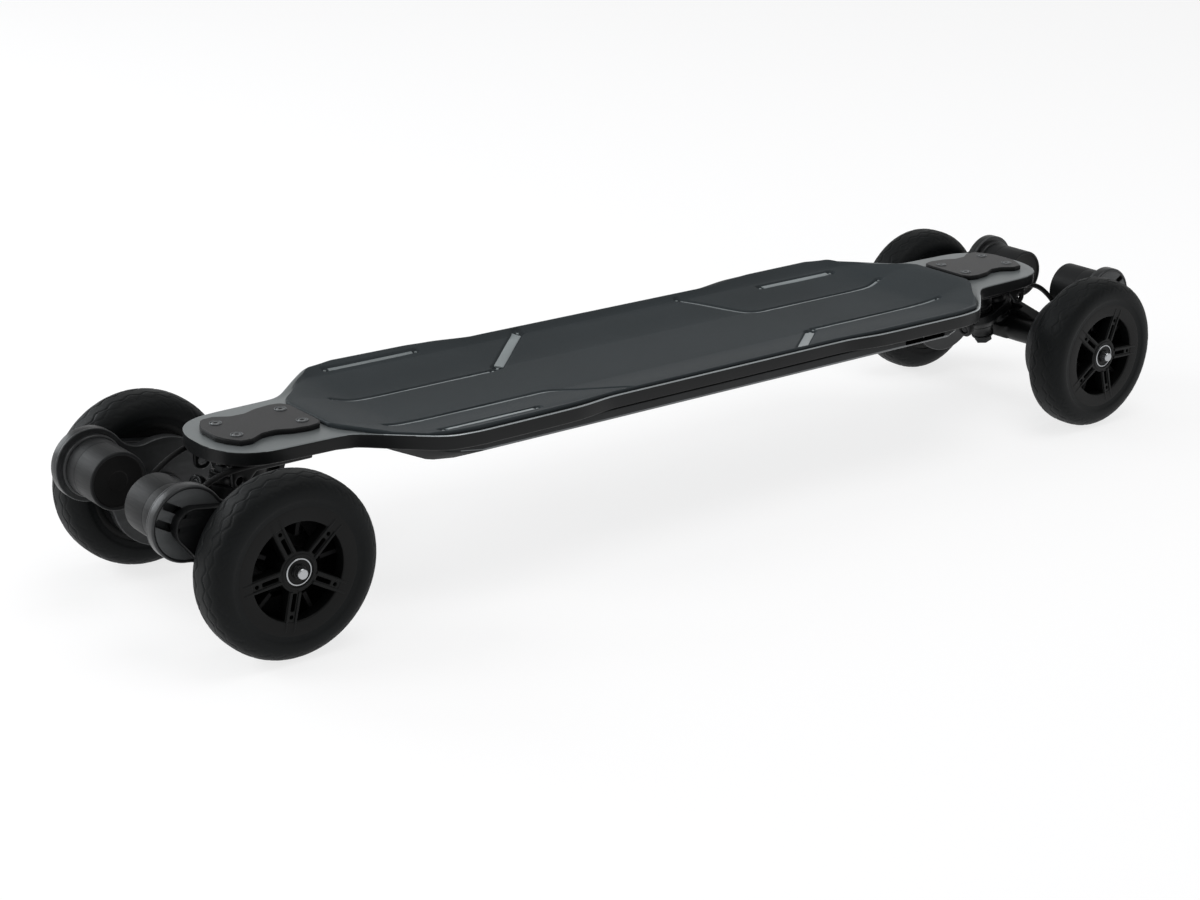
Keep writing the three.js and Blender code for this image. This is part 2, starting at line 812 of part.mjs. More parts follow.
const plateTop = neckBottom - fit;
const plateBottom = plateTop - plateThickness;
const innerAhead = -innerKingpinBack;
const outerAhead = -outerKingpinBack;
const pinHeadTop = riseAt(plateTop, innerAhead + pinHeadRadius) - fit;
const pinHeadBottom = pinHeadTop - pinHeadHeight;
const noseBack = innerAhead - innerRingRadius - pivotNoseLength;
const legFront = innerAhead - innerRingRadius - fit * 2;
const towerBack = outerAhead + outerRingRadius + fit * 2;
const towerFront = towerBack + towerThickness;

function baseplate() {
  const c = plateCorner;
  const w = plateHalfWidth;
  const outline = [
    [plateBack + c, -w], [plateFront - c, -w], [plateFront, c - w], [plateFront, w - c],
    [plateFront - c, w], [plateBack + c, w], [plateBack, w - c], [plateBack, c - w],
  ];
  const plate = prism(outline, plateBottom, plateTop, flat);
  const boss = disc(
    bossRadius, bossBottom, riseAt(plateBottom, innerAhead) + plateThickness / 2, pinFacets, roundKingpin(innerAhead),
  );
  const legLow = innerHingeRise - legReach;
  const leg = prism(
    [
      ...arc(0, innerHingeRise, legReach, Math.PI, 2 * Math.PI, smallFacets / 2),
      [legHalfWidth, riseAt(plateBottom, legFront) + fit],
      [-legHalfWidth, riseAt(plateBottom, legFront) + fit],
    ],
    legFront - legThickness, legFront, truckCrossSection,
  );
  const gusset = prism(
    [
      [plateBack + c, plateBottom + overrun],
      [plateBack + c + legThickness, plateBottom - legThickness],
      [truckPoint(legFront - legThickness / 2, legLow + 2 * legReach).x, plateBottom - legThickness],
      [truckPoint(legFront - legThickness / 2, legLow + 2 * legReach).x + 2 * legThickness, plateBottom + overrun],
    ],
    -legThickness / 2, legThickness / 2, sideView(at(0, 0, 0)),
  );
  const eyeX = plateFront - railEyeRadius + railEyeHole;
  const rail = (side) => {
    const outer = side * (plateHalfWidth + railThickness / 2);
    const inner = side * (plateHalfWidth - railThickness / 2);
    return prism(
      [
        [plateBack + c, plateTop], [plateBack + c, railBottom], [eyeX - 2 * railEyeRadius, railBottom],
        ...arc(eyeX, railEyeHeight, railEyeRadius, 1.1 * Math.PI, 2 * Math.PI, smallFacets / 2),
        [eyeX + railEyeRadius, plateTop],
      ],
      Math.min(inner, outer), Math.max(inner, outer), sideView(at(0, 0, 0)),
    );
  };
  const eye = disc(
    railEyeHole, -plateHalfWidth * 2, plateHalfWidth * 2, smallFacets,
    new THREE.Matrix4().setPosition(eyeX, 0, railEyeHeight),
  );
  const bore = disc(
    innerShankRadius + fit, bossBottom - overrun, pinHeadBottom + overrun, smallFacets, roundKingpin(innerAhead),
  );
  const headWell = disc(
    pinHeadRadius + fit, pinHeadBottom - fit, pinHeadTop + 2 * pinHeadHeight, smallFacets, roundKingpin(innerAhead),
  );
  const cup = disc(
    pivotNoseRadius + fit, noseBack - overrun, legFront + overrun, pinFacets, roundHinge(innerHingeRise),
  );
  return cut(joined([plate, boss, leg, gusset, rail(-1), rail(1)]), [eye, bore, headWell, cup]);
}

function knuckle() {
  const centre = (ahead) => [ahead, 0];
  const body = prism(
    bandOutline(centre(innerAhead), innerRingRadius, centre(outerAhead), outerRingRadius, 8, 7),
    outerRingBottom - knuckleSkirtLap, outerRingTop, truckPlan,
  );
  const skirt = turned(
    [
      [0, innerRingBottom], [skirtRadius, innerRingBottom], [skirtTopRadius, innerRingBottom + skirtHeight],
      [skirtTopRadius, innerHingeRise + skirtHeight], [0, innerHingeRise + skirtHeight],
    ],
    hubFacets, roundKingpin(innerAhead),
  );
  const innerCup = disc(
    innerBushingRadius + cupWall, innerRingTop, outerRingTop + overrun, hubFacets, roundKingpin(innerAhead),
  );
  const outerCup = joined([
    disc(outerBushingRadius + cupWall, innerRingBottom, outerRingBottom, hubFacets, roundKingpin(outerAhead)),
    disc(seatRadius + seatSwing, innerRingBottom - overrun, outerRingBottom - knuckleSkirtLap, hubFacets,
      roundKingpin(outerAhead)),
  ]);
  const innerBore = disc(
    innerShankRadius + ringSwing + fit, innerRingBottom - overrun, outerRingTop, pinFacets, roundKingpin(innerAhead),
  );
  const outerBore = disc(
    outerShankRadius + ringSwing + fit, innerRingBottom, outerRingTop + overrun, pinFacets, roundKingpin(outerAhead),
  );
  const nose = (from, to, rise) => disc(pivotNoseRadius, from, to, pinFacets, roundHinge(rise));
  const innerNose = nose(noseBack, innerAhead - innerBushingRadius - cupWall * 2, innerHingeRise);
  const outerNose = nose(outerAhead + outerBushingRadius + cupWall, towerFront - fit, outerHingeRise);
  const trimmed = cut(joined([body, skirt]), [innerCup, outerCup, innerBore, outerBore]);
  return joined([trimmed, innerNose, outerNose.subtract(outerCup)]);
}

// Barrel or cone of urethane with a bore for its kingpin
function bushing(bottomRadius, topRadius, bore, from, to, ahead) {
  const middle = (from + to) / 2;
  const mid = Math.max(bottomRadius, topRadius) - bushingWaist / 2;
  return turned(
    [[bore, from], [bottomRadius, from], [mid, middle], [topRadius, to], [bore, to]],
    pinFacets, roundKingpin(ahead),
  );
}

function innerKingpin() {
  const frame = roundKingpin(innerAhead);
  const nutBottom = innerNutTop - innerNutHeight;
  const shank = turned(
    [
      [0, nutBottom - pinTip], [innerShankRadius - pinTip / 2, nutBottom - pinTip],
      [innerShankRadius, nutBottom - pinTip / 2],
      [innerShankRadius, pinHeadBottom], [pinHeadRadius, pinHeadBottom], [pinHeadRadius, pinHeadTop], [0, pinHeadTop],
    ],
    smallFacets, frame,
  );
  const washer = disc(innerWasherRadius, innerNutTop, innerWasherTop, smallFacets, frame);
  const nut = disc(innerNutRadius, nutBottom, innerNutTop + washerThickness / 2, 6, frame);
  return joined([shank, washer, nut]);
}

function outerKingpin() {
  const frame = roundKingpin(outerAhead);
  const washerTop = outerWasherBottom + washerThickness;
  const nutTop = washerTop + outerNutHeight;
  const shank = turned(
    [
      [0, seatTop - kingpinSocketDepth], [outerShankRadius, seatTop - kingpinSocketDepth],
      [outerShankRadius, nutTop + pinTip / 2], [outerShankRadius - pinTip / 2, nutTop + pinTip], [0, nutTop + pinTip],
    ],
    smallFacets, frame,
  );
  const washer = disc(outerWasherRadius, outerWasherBottom, washerTop, smallFacets, frame);
  const nut = disc(outerNutRadius, washerTop - washerThickness / 2, nutTop, 6, frame);
  return joined([shank, washer, nut]);
}

function hanger() {
  const webFoot = hangerEnd - webInset;
  const bar = turned(
    [
      [0, -hangerEnd], [hangerRadius, -hangerEnd], [hangerMiddleRadius, -hangerMiddleHalf],
      [hangerMiddleRadius, hangerMiddleHalf], [hangerRadius, hangerEnd], [0, hangerEnd],
    ],
    hubFacets, roundAxle,
  );
  const web = prism(
    [
      [-webFoot, -webShoulder], [webFoot, -webShoulder], [webFoot, webFootRise], [webCrestHalf, webCrestRise],
      [towerHalf, webCrestRise + webCrestHalf - towerHalf], [towerHalf, towerRise - towerHalf / 2],
      [towerHalf / 2, towerRise], [-towerHalf / 2, towerRise], [-towerHalf, towerRise - towerHalf / 2],
      [-towerHalf, webCrestRise + webCrestHalf - towerHalf], [-webCrestHalf, webCrestRise], [-webFoot, webFootRise],
    ],
    webBack, towerFront, truckCrossSection,
  );
  const block = prism(
    [
      [outerAhead - seatRadius, -webSwing], [towerFront, -webSwing], [towerFront, webSwing],
      [outerAhead - seatRadius, webSwing],
    ],
    -webShoulder, webShoulder + fit, truckPlan,
  );
  const seat = disc(seatRadius, 0, seatTop, hubFacets, roundKingpin(outerAhead));
  const swing = prism(
    [
      [outerAhead - outerRingRadius, -webSwing], [towerBack, -webSwing], [towerBack, webSwing],
      [outerAhead - outerRingRadius, webSwing],
    ],
    seatTop, towerRise + overrun, truckPlan,
  );
  const clear = cut(
    prism(
      [
        [outerAhead - outerRingRadius, -webSwing], [towerBack, -webSwing], [towerBack, webSwing],
        [outerAhead - outerRingRadius, webSwing],
      ],
      hangerMiddleRadius, seatTop, truckPlan,
    ),
    [disc(seatRadius, 0, seatTop + overrun, hubFacets, roundKingpin(outerAhead))],
  );
  const noseCup = disc(
    pivotNoseRadius + fit, towerBack - overrun, towerFront + overrun, pinFacets, roundHinge(outerHingeRise),
  );
  const pinSocket = disc(
    outerShankRadius + fit, seatTop - kingpinSocketDepth - fit, seatTop + overrun, smallFacets,
    roundKingpin(outerAhead),
  );
  const axleBore = disc(axleRadius + fit, -hangerEnd - overrun, hangerEnd + overrun, pinFacets, roundAxle);
  return cut(joined([bar, web, block, seat]), [swing, clear, noseCup, pinSocket, axleBore]);
}

function axle() {
  const spacerEnd = innerBearingFace - fit;
  const spacerStart = hangerEnd + fit;
  const nutStart = outerBearingFace + fit;
  const nutEnd = nutStart + axleNutHeight;
  const side = [
    [axleRadius, spacerStart], [axleSpacerRadius, spacerStart], [axleSpacerRadius, spacerEnd],
    [axleRadius, spacerEnd], [axleRadius, axleTip - overrun], [axleRadius - overrun, axleTip],
  ];
  const profile = [
    [0, -axleTip],
    ...side.map(([radius, along]) => [radius, -along]).reverse(),
    ...side,
    [0, axleTip],
  ];
  const nut = (from, to) => disc(axleNutRadius, from, to, 6, roundAxle);
  return joined([turned(profile, pinFacets, roundAxle), nut(nutStart, nutEnd), nut(-nutEnd, -nutStart)]);
}

// Two bearings and the spacer tube between their inner races
function wheelBearing() {
  const bore = axleRadius + fit;
  return turned(
    [
      [bore, innerBearingFace], [bearingRadius, innerBearingFace],
      [bearingRadius, innerBearingFace + bearingWidth], [spacerTubeRadius, innerBearingFace + bearingWidth],
      [spacerTubeRadius, outerBearingFace - bearingWidth], [bearingRadius, outerBearingFace - bearingWidth],
      [bearingRadius, outerBearingFace], [bore, outerBearingFace],
    ],
    pinFacets, roundAxle,
  );
}

// Radius of the circle through the tips of a pulley's teeth
const tipRadius = (teeth) => (teeth * toothPitch) / (2 * Math.PI) - pitchLineDrop;

// Outline of a toothed pulley
function toothedOutline(teeth) {
  const tip = tipRadius(teeth);
  const root = tip - toothDepth;
  const step = (2 * Math.PI) / teeth;
  return Array.from({ length: teeth }, (_, i) => {
    const corner = (radius, share) => {
      const angle = (i + share) * step;
      return [radius * Math.cos(angle), radius * Math.sin(angle)];
    };
    return [corner(tip, 0), corner(root, 1 / 2)];
  }).flat();
}

// Rim with five double spokes, its hub and the toothed ring that the belt drives
function rim() {
  const outerFace = halfTrack - rimInset;
  const innerFace = outerFace - rimDepth;
  const faceBack = outerFace - faceThickness;
  const barrel = tube(rimInner, rimRadius, innerFace, faceBack + overrun, rimFacets, roundAxle);
  const openings = [];
  for (let spoke = 0; spoke < spokeCount; spoke++) {
    const from = (spoke * 2 * Math.PI) / spokeCount - Math.PI / 2;
    const to = from + (2 * Math.PI) / spokeCount;
    const inset = (radius) => Math.asin(spokeHalfWidth / radius);
    const rootRadius = hubRadius + rimInset;
    openings.push([
      ...arc(0, 0, rimLip, from + inset(rimLip), to - inset(rimLip), rimFacets / spokeCount - 1),
      ...arc(0, 0, rootRadius, to - inset(rootRadius), from + inset(rootRadius), 1),
    ]);
    const along = ([radius, side]) => [
      radius * Math.cos(from) - side * Math.sin(from),
      radius * Math.sin(from) + side * Math.cos(from),
    ];
    openings.push(
      [
        [spokeSlotFrom, -spokeSlotHalf], [spokeSlotTo, -spokeSlotHalf], [spokeSlotTo, spokeSlotHalf],
        [spokeSlotFrom, spokeSlotHalf],
      ].map(along),
    );
  }
  const step = Math.PI / rimFacets;
  const facePlan = arc(0, 0, rimRadius, step, step + 2 * Math.PI, rimFacets).slice(0, -1);
  const spokes = prism(facePlan, faceBack, outerFace, sideView(axleCentre), openings);
  const webFace = housingOuter + pulleySideGap / 2;
  const drumInner = tipRadius(wheelTeeth) - toothDepth - pulleyRimThickness;
  const hub = disc(hubRadius, innerBearingFace, hubFace, hubFacets, roundAxle);
  const web = disc(drumInner + overrun, webFace - pulleyWeb, webFace, hubFacets, roundAxle);
  const drum = prism(
    toothedOutline(wheelTeeth), pulleyInner, webFace - overrun / 2, sideView(axleCentre),
    [arc(0, 0, drumInner, 0, 2 * Math.PI, hubFacets).slice(0, -1)],
  );
  const bore = disc(
    across(bearingRadius + fit, hubFacets), innerBearingFace - overrun, hubFace + overrun, hubFacets, roundAxle,
  );
  return cut(joined([barrel, spokes, hub, web, drum]), [bore]);
}

function tyre() {
  const bead = across(rimRadius + fit, wheelFacets);
  const crown = across(wheelRadius, wheelFacets);
  const wall = tyreProfileShares.map(([up, inset]) => [bead + (crown - bead) * up, inset * tyreWidth]);
  const profile = [
    ...wall.map(([radius, inset]) => [radius, tyreInnerFace + inset]),
    ...wall.map(([radius, inset]) => [radius, halfTrack - inset]).reverse(),
  ];
  return turned(profile, wheelFacets, roundAxle);
}

const motorPlan = [motorX, motorZ];
const axlePlan = [axleX, wheelRadius];
const upright = sideView(at(0, 0, 0));

// Belt pulled tight round the wheel pulley and the motor pulley
function driveBelt() {
  const wheelLine = across(tipRadius(wheelTeeth) + beltGap, beltFacets);
  const motorLine = across(tipRadius(motorTeeth) + beltGap, beltFacets);
  const outer = bandOutline(
    axlePlan, wheelLine + beltThickness, motorPlan, motorLine + beltThickness, hubFacets, smallFacets,
  );
  const inner = bandOutline(axlePlan, wheelLine, motorPlan, motorLine, hubFacets, smallFacets);
  return prism(outer, beltInner, beltOuter, upright, [inner.reverse()]);
}

// Motor pulley with its flange, on the motor's shaft
function motorPulley() {
  const tip = tipRadius(motorTeeth);
  const wheelTurn = new THREE.Matrix4().setPosition(motorCentre);
  const teeth = prism(toothedOutline(motorTeeth), beltInner - pulleySideGap / 2, beltOuter + beltSideGap / 2,
    sideView(motorCentre));
  const flange = disc(
    tip + motorPulleyFlange, beltInner - pulleySideGap / 2 - pulleySideGap, beltInner - pulleySideGap / 2,
    pinFacets, wheelTurn,
  );
  const shaft = disc(motorShaftRadius, motorPadFace - motorShaftDepth, beltInner, smallFacets, wheelTurn);
  return joined([teeth, flange, shaft]);
}

function motor() {
  const face = motorPadFace - fit;
  const can = turned(
    [
      [0, motorEnd + motorFaceDish], [motorRadius - motorRimWidth, motorEnd + motorFaceDish],
      [motorRadius - motorRimWidth, motorEnd], [motorRadius - motorBevel / 2, motorEnd],
      [motorRadius, motorEnd + motorBevel / 2], [motorRadius, face], [0, face],
    ],
    motorFacets, roundMotor,
  );
  const bore = disc(
    across(motorShaftRadius, smallFacets) + fit, motorPadFace - motorShaftDepth - fit, motorPadFace + overrun,
    smallFacets, roundMotor,
  );
  return cut(can, [bore]);
}

// Cast housing over the belt: the motor is bolted to its pad and its collar clamps on the hanger
function driveHousing() {
  const shell = (inset, from, to) =>
    prism(
      waistedOutline(
        motorPlan, motorFlangeRadius - inset, axlePlan, axleDrumRadius - inset, waistFillet + inset, 7, 8, 2,
      ),
      from, to, upright,
    );
  const pad = disc(motorRadius + motorBevel, motorPadFace, housingInner + overrun, hubFacets, roundMotor);
  const collar = disc(collarRadius, motorPadFace, housingInner + overrun, hubFacets, roundAxle);
  const gland = disc(
    glandRadius, motorPadFace - glandLength, housingInner + overrun, smallFacets,
    new THREE.Matrix4().setPosition(cableRoute.at(-1)[0], 0, cableRoute.at(-1)[2]),
  );
  const wall = housingWall + housingStep;
  const hollow = shell(wall, webOuter, coverInner);
  const opening = disc(coverOpening, coverInner - overrun, housingOuter + overrun, motorFacets, roundAxle);
  const clampBore = disc(across(hangerRadius, hubFacets) + fit, motorPadFace - overrun, housingOuter, hubFacets, roundAxle);
  const shaftBore = disc(
    across(tipRadius(motorTeeth) + motorPulleyFlange, pinFacets) + fit * 2, motorPadFace - overrun, housingOuter,
    pinFacets, roundMotor,
  );
  const vents = Array.from({ length: ventCount }, (_, i) => {
    const angle = ventAim + (i - (ventCount - 1) / 2) * ventSpread;
    const outward = at(Math.cos(angle), 0, Math.sin(angle));
    const sideways = at(-Math.sin(angle), 0, Math.cos(angle));
    return prism(
      [
        [webOuter, -ventWidth / 2], [webOuter + ventLength, -ventWidth / 2],
        [webOuter + ventLength, ventWidth / 2], [webOuter, ventWidth / 2],
      ],
      motorFlangeRadius - wall - overrun * 2, motorFlangeRadius + overrun,
      place(motorCentre, alongY, sideways, outward),
    );
  });
  return cut(
    joined([pad, collar, gland, shell(0, housingInner, tierEnd), shell(housingStep, tierEnd, housingOuter)]),
    [hollow, opening, clampBore, shaftBore, ...vents],
  );
}

function motorCable() {
  const route = new THREE.CatmullRomCurve3(cableRoute.map(([x, y, z]) => at(x, y, z)), false, "centripetal");
  const section = arc(0, 0, cableRadius, 0, 2 * Math.PI, cableSides).slice(0, -1);
  const shape = new THREE.Shape(section.map(([x, y]) => new THREE.Vector2(x, y)));
  return solidOf(new THREE.ExtrudeGeometry(shape, { extrudePath: route, steps: cableSteps, bevelEnabled: false }));
}

// The board: the deck group, then the front truck, which the rear one mirrors
const board = new THREE.Group();
board.add(
  meshOf("deck", deckSolid(0), satinShell),
  meshOf("grip_pad", gripPad(), foam),
  meshOf("enclosure", enclosure(), blackShell),
  meshOf("battery_pack", batteryPack(), cellWrap),
  meshOf("controller", controller(), blackAluminium),
  meshOf("power_button", powerButton(), blackPlate),
);

const truckPieces = [
  ["cover_plate", coverPlate(), blackPlate],
  ["baseplate", baseplate(), blackAluminium],
  ["knuckle", knuckle(), blackAluminium],
  ["hanger", hanger(), blackAluminium],
  ["axle", axle(), steel],
  ["inner_kingpin", innerKingpin(), steel],
  ["outer_kingpin", outerKingpin(), steel],
  [
    "inner_lower_bushing",
    bushing(innerWasherRadius, innerBushingRadius, innerShankRadius + fit, innerLowerBushingBottom,
      innerLowerBushingTop, innerAhead),
    urethane,
  ],
  [
    "inner_upper_bushing",
    bushing(innerBushingRadius, innerBushingRadius, innerShankRadius + fit, innerUpperBushingBottom,
      innerUpperBushingTop, innerAhead),
    urethane,
  ],
  [
    "outer_lower_bushing",
    bushing(outerBushingRadius, outerBushingRadius, outerShankRadius + fit, outerLowerBushingBottom,
      outerLowerBushingTop, outerAhead),
    urethane,
  ],
  [
    "outer_upper_bushing",
    bushing(outerBushingRadius, outerWasherRadius, outerShankRadius + fit, outerUpperBushingBottom,
      outerUpperBushingTop, outerAhead),
    urethane,
  ],
];

const cornerPieces = [
  ["tyre", tyre(), tyreRubber],
  ["rim", rim(), rimNylon],
  ["wheel_bearing", wheelBearing(), steel],
  ["drive_belt", driveBelt(), beltRubber],
  ["motor_pulley", motorPulley(), steel],
  ["motor", motor(), canAluminium],
  ["drive_housing", driveHousing(), blackAluminium],
  ["motor_cable", motorCable(), cableSleeve],
];

for (const [end, endSign] of [["front", 1], ["rear", -1]]) {
  const truck = new THREE.Group();
  truck.scale.set(endSign, 1, 1);
  truck.add(...truckPieces.map(([name, solid, material]) => meshOf(`${end}_${name}`, solid, material)));
  for (const [side, sideSign] of [["left", 1], ["right", -1]]) {
    const corner = new THREE.Group();
    corner.scale.set(1, sideSign, 1);
    corner.add(
      ...cornerPieces.map(([name, solid, material]) => meshOf(`${name}_${end}_${side}`, solid, material)),
    );
    truck.add(corner);
  }
  board.add(truck);
}

export default board;
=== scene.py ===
import math
import bpy
import numpy as np
from mathutils import Matrix, Vector


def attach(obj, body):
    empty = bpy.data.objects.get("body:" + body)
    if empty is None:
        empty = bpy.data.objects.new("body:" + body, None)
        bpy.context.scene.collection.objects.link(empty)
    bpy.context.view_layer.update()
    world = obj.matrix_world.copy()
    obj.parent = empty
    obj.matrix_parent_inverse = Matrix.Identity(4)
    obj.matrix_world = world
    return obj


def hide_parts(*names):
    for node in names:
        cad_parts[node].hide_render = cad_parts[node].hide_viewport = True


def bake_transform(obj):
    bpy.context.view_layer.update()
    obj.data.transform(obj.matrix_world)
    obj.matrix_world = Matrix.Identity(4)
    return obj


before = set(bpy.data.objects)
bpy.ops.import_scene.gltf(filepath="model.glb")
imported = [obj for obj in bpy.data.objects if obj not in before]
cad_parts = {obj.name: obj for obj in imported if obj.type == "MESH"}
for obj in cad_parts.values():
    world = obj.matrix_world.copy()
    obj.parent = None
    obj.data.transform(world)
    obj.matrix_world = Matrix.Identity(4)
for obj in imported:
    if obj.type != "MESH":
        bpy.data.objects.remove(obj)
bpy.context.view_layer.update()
scene = bpy.context.scene
scene.view_settings.view_transform = "Standard"
TAU = 2 * math.pi
M = 0.001

# Sizes shared with the solids, in millimetres
HALF_DECK = 507.0
HALF_WIDTH = 122.0
AXLE_X = 496.5
WHEEL_R = 80.0
HALF_TRACK = 148.0
TYRE_INNER = 104.0
NOSE_TOP = 152.0
NECK_BOTTOM = 139.5
LIP_TOP = 153.0
MIDDLE_TOP = 146.0
FLOOR_TOP = 136.7
FLOOR_BOTTOM = 130.7
MOTOR_X = 564.0
MOTOR_Z = 119.4
LEAN = math.radians(16)
INNER_AHEAD = -29.4
OUTER_AHEAD = -1.8
INNER_HINGE = 20.6
OUTER_HINGE = 29.4
HOUSING_IN, HOUSING_TIER, HOUSING_OUT = 80.0, 91.0, 101.0
PAD_FACE = 75.0
WHEEL_TEETH, MOTOR_TEETH, TOOTH_PITCH, TIP_DROP = 42, 14, 5, 0.57
ENDS = [("front", 1), ("rear", -1)]
SIDES = [("left", 1), ("right", -1)]

# The camera was fitted to the photo: place in metres, turns in radians
CAMERA_PLACE = Vector((-1.36866, -1.62061, 0.80082))
YAW, PITCH, ROLL = 0.67535, 0.34632, 0.015683
CAMERA_LENS = 68.41


def camera():
    flat = math.cos(PITCH)
    ahead = Vector((math.sin(YAW) * flat, math.cos(YAW) * flat, -math.sin(PITCH)))
    right = Vector((math.cos(YAW), -math.sin(YAW), 0))
    up = right.cross(ahead)
    c, s = math.cos(ROLL), math.sin(ROLL)
    turn = Matrix((c * right + s * up, c * up - s * right, -ahead)).transposed().to_4x4()
    turn.translation = CAMERA_PLACE
    data = bpy.data.cameras.new("camera")
    data.lens = CAMERA_LENS
    data.sensor_width = 36
    data.clip_end = 100
    cam = bpy.data.objects.new("camera", data)
    scene.collection.objects.link(cam)
    cam.matrix_world = turn
    scene.camera = cam


camera()


# Materials
def put(tree, socket, value):
    """Links an output to the socket, or sets the socket's own value."""
    if isinstance(value, bpy.types.NodeSocket):
        tree.links.new(value, socket)
    else:
        socket.default_value = value


def add_node(tree, kind, inputs=None, **settings):
    node = tree.nodes.new(kind)
    for key, value in settings.items():
        setattr(node, key, value)
    for key, value in (inputs or {}).items():
        put(tree, node.inputs[key], value)
    return node


class Nodes:
    """The node tree of one new material."""

    def __init__(self, name):
        self.mat = bpy.data.materials.new(name)
        self.mat.use_nodes = True
        self.tree = self.mat.node_tree
        self.shader = self.tree.nodes["Principled BSDF"]
        self.coords = self.add("ShaderNodeTexCoord").outputs["Object"]

    def add(self, kind, inputs=None, **settings):
        return add_node(self.tree, kind, inputs, **settings)

    def noise(self, scale, detail, rough=0.55, stretch=None):
        source = self.coords
        if stretch:
            source = self.add("ShaderNodeMapping", {"Vector": source, "Scale": stretch}).outputs["Vector"]
        inputs = {"Vector": source, "Scale": scale, "Detail": detail, "Roughness": rough}
        return self.add("ShaderNodeTexNoise", inputs).outputs["Fac"]

    def ramp(self, value, low, high, out_low=0.0, out_high=1.0):
        inputs = {"Value": value, "From Min": low, "From Max": high, "To Min": out_low, "To Max": out_high}
        return self.add("ShaderNodeMapRange", inputs).outputs["Result"]

    def mix(self, fac, a, b):
        return self.add("ShaderNodeMix", {0: fac, 6: a, 7: b}, data_type="RGBA").outputs[2]

    def math(self, op, a, b):
        return self.add("ShaderNodeMath", {0: a, 1: b}, operation=op).outputs["Value"]

    def shade(self, values):
        for name, value in values.items():
            put(self.tree, self.shader.inputs[name], value)


def linear(hexa):
    out = []
    for i in (0, 2, 4):
        c = int(hexa[i:i + 2], 16) / 255
        out.append(c / 12.92 if c <= 0.04045 else ((c + 0.055) / 1.055) ** 2.4)
    return (*out, 1.0)


def finish(name, colour, rough, metal, grain, bump, cloud, vary, spec=0.5, edge_rub_and_highlight=0.0, edge_rub_and_highlight_colour=None, stretch=None,
           spread=0.12):
    """A finish with cloudy colour, grain in its gloss and relief, and lighter edges, rubbed on most finishes
    and a painted highlight on the housing wall's rims.
    """
    n = Nodes(name)
    dark, light = ((*(min(1, c * k) for c in linear(colour)[:3]), 1.0) for k in (1 - vary, 1 + vary))
    tint = n.mix(n.ramp(n.noise(cloud, 4), 0.32, 0.68), dark, light)
    fine = n.noise(grain, 3, 0.6, stretch)
    if edge_rub_and_highlight:
        point = n.add("ShaderNodeNewGeometry").outputs["Pointiness"]
        patchy = n.ramp(n.noise(160, 3), 0.35, 0.75, 0.2, 1.0)
        edge = n.math("MULTIPLY", n.ramp(point, 0.52, 0.6), patchy)
        tint = n.mix(n.math("MULTIPLY", edge, edge_rub_and_highlight), tint, linear(edge_rub_and_highlight_colour))
    relief = n.add("ShaderNodeBump", {"Height": fine, "Strength": bump, "Distance": 0.0006})
    gloss = n.ramp(fine, 0.3, 0.7, max(0.02, rough - spread / 2), min(1.0, rough + spread / 2))
    n.shade({"Base Color": tint, "Roughness": gloss, "Metallic": metal, "Specular IOR Level": spec,
             "Normal": relief.outputs["Normal"]})
    return n.mat


# Name, colour, roughness, metal, grain, relief, size of the clouds and their strength, then gloss and the
# share and colour of the lighter edges, which are rubbing on most finishes and a painted highlight on the
# housing wall
# The grey satin below is a painted reflection: a lighter copy of the deck's black for the neck's upward
# faces.
deck_top_painted_reflection = finish("deck_satin_painted_reflection", "787d7e", 0.34, 0.3, 1500, 0.05, 9, 0.07, 0.4, 0.3, "a4a8a8", (0.15, 1, 1))
deck_side = finish("deck_side", "151617", 0.4, 0, 1300, 0.08, 14, 0.2, 0.2, 0.3, "3c3f40", (0.2, 1, 1))
# The bright metallic lip colour below is a painted highlight along the deck's rounded edge.
lip_painted_highlight = finish("deck_lip_painted_highlight", "b0b6b8", 0.24, 0.6, 1500, 0.04, 12, 0.1, stretch=(0.15, 1, 1))
foam_skin = finish("foam_skin", "2c3235", 0.55, 0, 2600, 0.2, 6, 0.1, 0.18, spread=0.16)
# The channel strips' light grey below is a painted highlight on the grooves' floors.
foam_line_painted_highlight = finish("foam_line_painted_highlight", "7b8284", 0.3, 0, 1800, 0.05, 20, 0.12, 0.6)
foam_bar = finish("foam_bar", "828a8c", 0.32, 0, 1800, 0.05, 20, 0.1, 0.6)
# The lighter black below is painted light on the shell's upright sides.
shell_side_painted_light = finish("shell_side_painted_light", "303132", 0.5, 0, 1800, 0.12, 10, 0.2, 0.15, 0.25, "4a4c4e")
shell_black = finish("shell_black", "131415", 0.62, 0, 1800, 0.12, 10, 0.2, 0.1, 0.25, "343638")
# The light grey below is a painted highlight along the shell's lower side edge.
shell_painted_highlight = finish("shell_painted_highlight", "626567", 0.34, 0.2, 1800, 0.08, 16, 0.2)
# The near-black below is painted shade in hollows: behind the wheel's openings and inside the bearing.
painted_shade_hollow_black = finish("painted_shade_hollow_black", "070708", 0.6, 0, 1500, 0.1, 20, 0.3, 0.15)
plate_black = finish("plate_black", "17181a", 0.38, 0, 1600, 0.06, 25, 0.2, 0.3, 0.35, "3c3f40")
cast_black = finish("cast_black", "131415", 0.42, 0.3, 1300, 0.16, 22, 0.25, 0.3, 0.4, "45484a")
housing_black = finish("housing_black", "4a4c4d", 0.45, 0.1, 1400, 0.07, 18, 0.2, 0.35, 0.4, "4a4c4e")
# The lighter edges of the finish below are a painted highlight on the housing wall's rounded rims.
housing_wall_painted_highlight = finish("housing_wall_painted_highlight", "2a2b2c", 0.36, 0.35, 1400, 0.05, 18, 0.15, 0.4, 0.8, "8a8e90")
